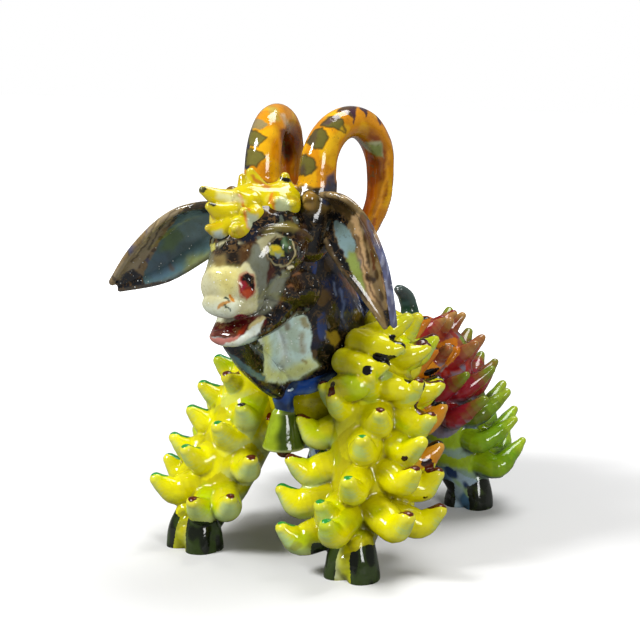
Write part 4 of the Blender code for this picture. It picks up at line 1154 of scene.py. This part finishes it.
left_ear_paint = [
    ("4c3c20", 1, 1.2, 0, [
        (-14.4, 27.2), (-0.5, 26.7), (1.5, 20.6), (-2.6, 17.4), (-7.9, 22.3), (-13.6, 23.1)
    ]),
    ("c9a678", 1, 0.6, 1.2, [(0.3, 19.8), (3, 8.8), (4.6, -2.3), (8.2, -12.9)]),
    ("5a3018", 0.9, 0.5, 0.79, [(2.7, 20.2), (6.3, 10), (8.3, -0.7)]),
    ("5a3a26", 0.9, 0.4, 0.51, [(6, 17.3), (9.6, 5.9), (12, -6.4), (14.8, -17.1)]),
    ("4a3426", 0.8, 0.4, 0.43, [(1.4, 12.4), (3.8, 1.8), (7, -9.7), (12.7, -19.1)]),
    ("caa678", 0.9, 0.5, 0.8, [(8, 14), (11.2, 3.4), (13.2, -9.7)]),
    ("2a1c14", 0.9, 0.6, 1.19, [(5.8, -4.3), (7.9, -5.6)]),
    ("56608a", 1, 0.5, 0, [
        (-1.3, 27.9), (3.6, 23.4), (8.4, 17.3), (11.7, 9.9), (13.6, 0.9), (15.2, -9.7), (17.2, -20.4),
        (20.5, -21.2), (19.8, -5.7), (16.6, 11.5), (10.1, 23), (2.8, 28.7)
    ]),
    ("8f98bc", 0.7, 0.4, 0.36, [(13.3, 6.6), (15.2, -5.6), (16.8, -16.3)]),
    ("141414", 1, 0.4, 0, [(11.5, -18.3), (14.8, -16.3), (18, -18.7), (18.8, -25.3), (13.9, -24.4)]),
    # A painted glint on the black patch.
    ("e8e8e0", 1, 0.15, 0.4, [(16.2, -21.8), (16.4, -22)]),
    ("7f9a9c", 1, 0.3, 0, [
        (-8.3, 19), (-4.7, 18.2), (-1.4, 14.9), (1, 9.2), (-0.7, 1.8), (-3.9, 5.1), (-6.8, 11.7)
    ]),
    ("8a9a4c", 1, 0.8, 0, [(-1.5, 6.7), (1.4, 4.3), (3, -2.3), (5, -10.9), (0.9, -5.9), (-2.7, 1.9)]),
    ("0e0f12", 1, 0.4, 0, [
        (-16.9, 24), (-12.8, 25.6), (-7.1, 22.7), (-1.4, 18.6), (-2.6, 16.1), (-7.1, 19.4), (-8.8, 16.6),
        (-6.8, 10.9), (-3.5, 3.9), (0.9, -5.9), (4.1, -10.4), (3.3, -13.7), (-1.6, -7.9), (-6.4, 1.9),
        (-10.4, 10.9), (-14.5, 18.2)
    ]),
]
for own, middle, shapes in (
    (on_right_ear, (-45, -4, 130), right_ear_paint),
    (on_left_ear, (36, 8, 130), left_ear_paint),
):
    ground = coats(
        co,
        ground,
        (own, "86704c"),
        (own * ease(0.0, 0.6, mottle(co * (1, 1, 0.4), 3, 61)) * 0.85, "3a2a18"),
        (own * ease(0.5, 0.9, mottle(co * (1, 1, 0.4), 6, 62)) * 0.8, "3c4672"),
    )
    places, facing = drawing_board(co, normals, middle)
    ground = lay_on(ground, places, facing * own, shapes)
outwards = np.sign(left_mid[HALFWAY, -1, 0] - left_mid[HALFWAY, 0, 0])
outer_side = (step_across / (left_mid.shape[1] - 1) * 2 - 1) * outwards
violet = on_left_ear * ease(0.6, 0.9, outer_side + 0.1 * mottle(co, 4, 63)) * ease(146, 138, co[:, 2])
streaks = ease(0.3, 0.7, mottle(co * (1, 1, 0.3), 2, 64))
ground = coats(co, ground, (violet, "4c5684"), (violet * streaks * 0.7, "9aa2c4"))
head_glaze = pottery_glaze(
    "painted_head_glaze", painted_glints=0.35, grain="604828", thin="8c7c58", pooled_glaze_and_shade="3a3020", thinning=0.2
)
fire("head_and_ears", co, quads, ground, head_glaze, crease_depth=crease_depth)


# Forelock
# A crown of pinched tufts between the horns, yellow with pale hollows and orange or black tips.
ALONG_CROWN = (0.8, 0.6, 0.0)
crown = [(-7, -20, 147), (-3, -14, 152), (4, -6, 156), (7, 2, 158)]
forelock_forms = [roll(crown, [(9, 6), (11, 6), (10, 6), (8, 6)], ALONG_CROWN)]
for root, tip in (
    ((-6, -14, 156), (-16, -24, 161.5)),
    ((-5, -19, 152), (-11, -27, 155.5)),
    ((0, -5, 158), (-4, -7, 168)),
    ((6, 2, 159), (7, 2, 166)),
    ((0, -13, 156), (-3, -19, 160)),
    ((3, -16, 151), (3, -23, 154)),
    ((9, -6, 155), (11, -12, 157.5)),
    ((-5, -22, 147), (-10, -29, 147)),
    ((1, -22, 147), (2, -28, 147.5)),
    ((11, -2, 155), (15, -6, 156)),
    ((-7, -3, 157), (-11, -2, 165)),
):
    root, tip = np.array(root, float), np.array(tip, float)
    line = [root, (root + tip) / 2 - (0, 0, 1.0), tip]
    forelock_forms.append(roll(line, [(5.4, 5.4), (4.3, 4.0), (1.9, 1.7)], ALONG_CROWN))
co, quads, normals, crease_depth = press(forelock_forms, 0.4, 3, full=0.6)
ground = coats(
    co,
    "c2b204",
    (ease(0.5, 0.9, mottle(co, 5, 71)) * 0.4, "d8d060"),
    (ease(0.5, 0.85, mottle(co, 4, 72)) * 0.6, "b89408"),
)
places, facing = drawing_board(co, normals, (0, -14, 153))
TIP_BLACK, TIP_ORANGE = "0d0d0d", "c8741a"
forelock_paint = [
    (TIP_BLACK, 1, 0.2, 0, [(-20.9, 10.1), (-18, 9.7), (-17.3, 8.5), (-18.9, 7.3), (-20.9, 7.7)]),
    (TIP_BLACK, 1, 0.2, 0.71, [(-15.7, 2.8), (-14.1, 2.4)]),
    (TIP_BLACK, 1, 0.2, 0.87, [(13.5, 13.4), (16, 12.6)]),
    (TIP_ORANGE, 0.9, 0.5, 0.63, [(-4.3, 6), (-2.8, 2), (-0.4, -0.1)]),
    (TIP_ORANGE, 0.9, 0.5, 0.63, [(9, 6.7), (8.6, 3.5), (10.2, 0.3)]),
    (TIP_ORANGE, 0.9, 0.5, 0.63, [(-2, -1.3), (-1.6, -4.5), (-0, -7.8)]),
    ("a8641c", 0.9, 0.6, 0.9, [(1.4, 14.1), (5, 10.8), (7.4, 9.2)]),
    ("b4c09a", 0.9, 1, 0, [(9.8, 4.3), (13.1, 5.9), (16.3, 3.5), (15.8, -2.2), (12.6, -4.2), (10.6, -0.6)]),
    ("b0bca0", 0.9, 1, 0, [(-0.8, -1.3), (2.5, -2.1), (4.9, -5.4), (3.2, -9), (-0, -8.2), (-1.6, -4.5)]),
    ("a4b4b4", 0.9, 1.2, 0, [(-15, -8.5), (-11.4, -7.7), (-9, -11.8), (-12.2, -14.2), (-15, -12.5)]),
    ("d8dcb0", 0.7, 1.2, 0, [(-12.8, 7.7), (-4.8, 6), (-2.3, 3.6), (-8.8, 3.6), (-13.6, 5.2)]),
]
ground = lay_on(ground, places, facing, forelock_paint)
fire("forelock", co, quads, ground, lemon_glaze, crease_depth=crease_depth)


# Horns
# Two thick coils of clay that rise from the crown, arch back and come down behind the ears, with rolled
# knobs round their roots. Glazed amber, with olive and dark purple patches along the outer curve.
HORN_LOOP_RADIUS = 20.8
HORN_CENTRE_HEIGHT = 166.0
HORN_RADIUS = 6.4
HORN_TIP_RADIUS = 3.6
KNOBS = ((19, 2, 156, 3.2), (23, 11, 154, 3.4), (11, 3, 158, 3.2), (22, 18, 152, 3.6))  # x, y, z, radius
OLIVE = "5f5a26"
WORN_OLIVE = "6f6a30"
UMBER = "4e4038"
PLUM = "3f2430"


def horn_line(side, base_x, base_y, splay):
    """Middle line: straight up from the crown, a half circle leaning outwards, then down and inwards; and
    the half-widths along it, from the root to the tip."""
    arc = np.linspace(0, pi, 9)
    back = [2 * HORN_LOOP_RADIUS - 1, 38, 32, 25]
    along = np.concatenate([[0, 0], HORN_LOOP_RADIUS * (1 - np.cos(arc)), back])
    rise = np.concatenate([[-17, -8], HORN_LOOP_RADIUS * np.sin(arc), [-13, -24, -34, -41]])
    order = np.arange(len(rise))
    tuck = np.where(order > 2, np.maximum(0.0, -rise - 13.0) * 0.25, 0.0)
    x = side * (base_x + along * sin(splay) - tuck)
    share = order / order[-1]
    thick = HORN_RADIUS * (1.32 - 0.27 * np.minimum(share * 2.4, 1))
    thick = thick + (HORN_TIP_RADIUS - HORN_RADIUS) * np.maximum(0, (share - 0.6) / 0.4)
    places = np.stack([x, base_y + along * cos(splay), HORN_CENTRE_HEIGHT + rise], 1)
    return places, np.stack([thick, thick], 1)


horn_glaze = pottery_glaze(
    "amber_horn_glaze", mottling=0.6, grain="4a3a20", thin="e0a428", pooled_glaze_and_shade="6b2f08", thinning=0.2
)
left_horn_paint = [
    (OLIVE, 1, 0.3, 0, [
        (-18.6, 0.7), (-15.3, 1.7), (-12.4, -0.2), (-10.3, -3.9), (-12.4, -6.6), (-17, -7.2), (-19.1, -5.5)
    ]),
    (UMBER, 0.8, 0.8, 0, [(-18.7, -3.5), (-15.3, -2.7), (-15.4, -7.2), (-19.1, -6.4)]),
    (OLIVE, 1, 0.3, 0, [
        (-14.4, 6.9), (-11.1, 11.4), (-7.7, 12.4), (-5.7, 8.1), (-8, 3.5), (-11.1, 3.7), (-13.6, 5.2)
    ]),
    (UMBER, 0.7, 0.8, 0, [(-14.4, 6.9), (-11.1, 10.6), (-9.4, 11.4), (-11.5, 4.8), (-13.6, 5.2)]),
    (OLIVE, 1, 0.3, 0, [
        (-8.6, 13.4), (-4.8, 17.2), (-1, 18.2), (1, 14.7), (1.6, 10.5), (-1.1, 11.6), (-4.4, 12.6)
    ]),
    ("4f3a44", 0.8, 0.8, 0, [(-8.6, 13.4), (-4.8, 17.2), (-1, 18.4), (-0.6, 16.3), (-5.2, 13.8)]),
    ("4d3826", 1, 0.3, 0, [(-1.9, 19.2), (1.1, 22.5), (4.8, 23.7), (7.3, 22.1), (4.4, 17.1), (1.5, 19.6)]),
    (PLUM, 1, 0.25, 0, [(4, 23.7), (6.9, 23.3), (6.5, 19.6), (5.6, 13.8), (4.4, 18.8)]),
    (PLUM, 1, 0.25, 0, [(6.9, 24.1), (12.3, 23.7), (11.2, 17.1), (9.8, 20.4)]),
    (PLUM, 1, 0.25, 0, [(14.4, 22.9), (19, 20.4), (17.3, 15), (16, 19.2)]),
    ("a8b088", 0.9, 0.6, 0, [(8.9, 8.4), (18, 8.4), (19.3, 2.2), (13.8, 3.8)]),
    ("6a7a2a", 0.8, 0.6, 0, [(13, 6.7), (18, 7.1), (18.8, 2.2), (14.7, 3)]),
    ("6a2c08", 0.85, 1, 0, [(12.2, 3), (18, 1.3), (18.8, -7), (14.6, -11.1), (11.7, -6.9)]),
    ("7a3006", 0.7, 1, 0.79, [(13.7, -11.9), (12, -19), (9.5, -25.2)]),
    # A painted highlight along the horn's outer edge.
    ("e6a020", 0.7, 0.8, 0.79, [(21.3, 3.8), (21.3, -4.5), (18.7, -15.3), (16.2, -22.7)]),
    ("2f3a58", 0.9, 1, 0, [(-6.6, -7.7), (-2.9, -5.2), (-2.1, -17.6), (-8, -19.3), (-8.8, -14.3)]),
    ("e8b818", 0.7, 1, 1.38, [(-7.8, 0.6), (-3.6, 7.2), (2.2, 12.2)]),
]
right_horn_paint = [
    ("2c3448", 1, 0.3, 1.34, [(-3.7, 21.1), (-6.7, 15.2), (-8.1, 8.4), (-9, 1.6), (-9.1, -5.2)]),
    ("3a2c38", 1, 0.3, 0, [(-5.4, 22), (-0.7, 22.4), (-2, 19.4), (-4.2, 16.9), (-6.3, 16.9)]),
    ("8a7a50", 1, 0.3, 0, [(-7.2, 15.6), (-2.1, 14.7), (0.5, 12.2), (-3.4, 10.1), (-7.6, 11.4)]),
    (WORN_OLIVE, 1, 0.3, 0, [(-7.6, 10.5), (-3.8, 9.2), (-0.4, 6.7), (-4.3, 3.3), (-8.1, 3.3)]),
    (WORN_OLIVE, 1, 0.3, 0, [(-9, 2.4), (-4.7, 1.6), (-0.9, -1.4), (-4.8, -5.6), (-9.1, -4.8)]),
    ("9a9a48", 0.7, 1.2, 0, [(0.5, 21.1), (4.8, 20.2), (5.6, 14.3), (2.2, 13.4)]),
    ("c8c0a8", 0.6, 1, 0.95, [(6.9, 16.8), (8.6, 13.4)]),
    ("5a2408", 0.9, 0.8, 0, [(5.1, 10.5), (9, 11.7), (11.5, 3.2), (9.7, -1.9), (5.9, 4.1)]),
    ("4a4e58", 0.8, 1, 0, [(-14.2, -13.7), (-9.1, -8.6), (-6.6, -11.2), (-8.3, -18), (-14.3, -17.9)]),
]
for shapes in (left_horn_paint, right_horn_paint):
    for code, strength, soft, radius, points in list(shapes):
        if code in (OLIVE, WORN_OLIVE):
            shapes.append(("2c2814", 0.75, 0.35, 0.35, [*points, points[0]]))
for name, side, base_x, base_y, lean, middle, shapes in (
    ("left_horn", 1.0, 16.5, 12.0, 11.0, (22, 22, 172), left_horn_paint),
    ("right_horn", -1.0, 11.3, 14.0, 15.0, (-14, 22, 172), right_horn_paint),
):
    splay = radians(lean)
    line, thick = horn_line(side, base_x, base_y, splay)
    root_x = side * (base_x - 2)
    mound = [
        (root_x, base_y - 4, 138), (root_x, base_y - 4, 146),
        (root_x + side, base_y - 2, 154), (side * base_x, base_y, 162),
    ]
    mound_sizes = [(8.5, 10), (10, 10), (9.8, 9.4), (8.4, 8.2)]
    forms = [roll(line, thick, sides=28), roll(mound, mound_sizes, sides=28)]
    for x, y, z, r in KNOBS:
        forms.append(roll([(side * x, y, z - 1.5), (side * x, y, z + 1.5)], [(r, r), (r, r)], steps=2))
    co, quads, normals, crease_depth = press(forms, 0.5, 4, full=0.6)
    spots = bend(line, 8)
    pick = nearest(co, spots)
    share = pick / (len(spots) - 1)
    away = co - spots[pick]
    middle_x = side * (base_x + HORN_LOOP_RADIUS * sin(splay))
    centre = np.array([middle_x, base_y + HORN_LOOP_RADIUS * cos(splay), HORN_CENTRE_HEIGHT])
    outer = (away * unit(spots[pick] - centre)).sum(1) / HORN_RADIUS
    round_horn = np.arctan2(away[:, 0] * side, outer * HORN_RADIUS)
    ridges = np.sin(round_horn * 5 + 0.8 * mottle(co, 6, 82)) * ease(0.45, 0.6, share)
    band = np.abs((share * 13.0) % 1.0 - 0.5)
    patch = ease(0.04, -0.04, band - 0.40 * np.sqrt(np.clip(outer + 0.1, 0, 1)))
    patch *= ease(0.14, 0.16, share) * ease(0.52, 0.5, share) * ease(0.25, -0.1, normals @ PAINTER)
    root = ease(163.5, 161.5, co[:, 2] + 0.8 * mottle(co, 4, 84)) * ease(0.16, 0.1, share)
    ground = coats(
        co,
        "cc8608",
        (ease(0.0, 0.7, mottle(co, 10, 81)) * 0.8, "e0aa10"),
        (ease(0.1, 0.8, -ridges) * 0.75, "8e4404"),
        (ease(0.1, -0.7, outer) * ease(0.2, 0.6, share) * 0.75, "7a3206"),
        (ease(0.55, 0.62, share) * ease(0.3, 0.8, mottle(co, 9, 83)) * 0.6, "a35208"),
        (patch, "57502c"),
        (root, "6e5a30"),
        (root * ease(-0.3, 0.4, mottle(co, 4, 85)) * 0.9, "1e180f"),
        (root * ease(0.5, 0.9, mottle(co, 5, 86)) * 0.7, "a38a4c"),
        (root * ease(156, 151, co[:, 2] + 1.5 * mottle(co, 5, 87)), "0c0a08"),
    )
    co += normals * (0.25 * ridges)[:, None]
    places, facing = drawing_board(co, normals, middle)
    ground = lay_on(ground, places, facing, shapes)
    fire(name, co, quads, ground, horn_glaze, crease_depth=crease_depth)


# Floor, light and camera
# A plain pale floor that meets a white background, three soft lamps, and a camera close to the piece, 30
# degrees round from the front and a little above. The floor is pale to the camera alone, so that the dark
# glazes don't mirror it.
BLACK = (0.0, 0.0, 0.0, 1.0)
WHITE = (1.0, 1.0, 1.0, 1.0)
FLOOR_IN_GLAZE = (0.2, 0.2, 0.2, 1.0)
FLOOR_SEEN = (0.72, 0.72, 0.72, 1.0)
BACKDROP_IN_GLAZE = 0.22
AIM = (0, 0, 0.08)

bpy.ops.mesh.primitive_plane_add(size=6.0, location=(0, 0, 0))
floor = bpy.context.object
floor.name = "pale_floor"
pale = bpy.data.materials.new("pale_floor")
pale.use_nodes = True
surface = pale.node_tree.nodes["Principled BSDF"].inputs
surface["Roughness"].default_value = 0.7
surface["Emission Strength"].default_value = 1.0
start = Flow(pale.node_tree)
spot = start.node("TexCoord", {}, {}, 3)
far = start.node("VectorMath", {"operation": "LENGTH"}, {0: spot}, 1)
seen = start.node("LightPath", {}, {})
cloth = seen.over(FLOOR_IN_GLAZE, FLOOR_SEEN)
glow = (seen * far.step(0.12, 0.55)).over(BLACK, WHITE)
pale.node_tree.links.new(cloth.socket, surface["Base Color"])
pale.node_tree.links.new(glow.socket, surface["Emission Color"])
floor.data.materials.append(pale)

world = bpy.data.worlds.new("studio")
bpy.context.scene.world = world
world.use_nodes = True
backdrop = world.node_tree.nodes["Background"].inputs
backdrop["Color"].default_value = WHITE
ray = Flow(world.node_tree).node("LightPath", {}, {})
strength = ray * (1.0 - BACKDROP_IN_GLAZE) + BACKDROP_IN_GLAZE
world.node_tree.links.new(strength.socket, backdrop["Strength"])


def stand(name, data, right, up, back, place):
    """A lamp or camera at a place in metres, which looks along the reverse of back."""
    holder = bpy.data.objects.new(name, data)
    rows = [[*row, p] for row, p in zip(np.stack([right, up, back], 1), place)]
    holder.matrix_world = Matrix([*rows, [0, 0, 0, 1]])
    bpy.context.scene.collection.objects.link(holder)
    return holder


def lamp(name, place, size, power):
    """A square soft lamp of that size in metres and power in watts, turned to the aim."""
    light = bpy.data.lights.new(name, "AREA")
    light.shape = "SQUARE"
    light.size = size
    light.energy = power
    back = unit(np.array(place, float) - np.array(AIM, float))
    right = unit(np.cross((0.0, 0.0, 1.0), back))
    stand(name, light, right, np.cross(back, right), back, place)


lamp("key", (-0.55, -0.75, 0.85), 0.34, 15.5)
lamp("fill", (0.95, -0.55, 0.45), 0.36, 6.6)
lamp("top", (0.1, 0.35, 1.1), 0.55, 10.0)

CAMERA_PLACE = (0.35300, -0.61311, 0.23100)
around, down = radians(30.0), radians(10.8)
right = np.array([cos(around), sin(around), 0.0])
up = np.array([-sin(around) * sin(down), cos(around) * sin(down), cos(down)])
back = np.array([sin(around) * cos(down), -cos(around) * cos(down), sin(down)])
lens = bpy.data.cameras.new("camera")
lens.lens = 90.0
lens.sensor_width = 36.0
bpy.context.scene.camera = stand("camera", lens, right, up, back, CAMERA_PLACE)
bpy.context.scene.view_settings.view_transform = "Standard"
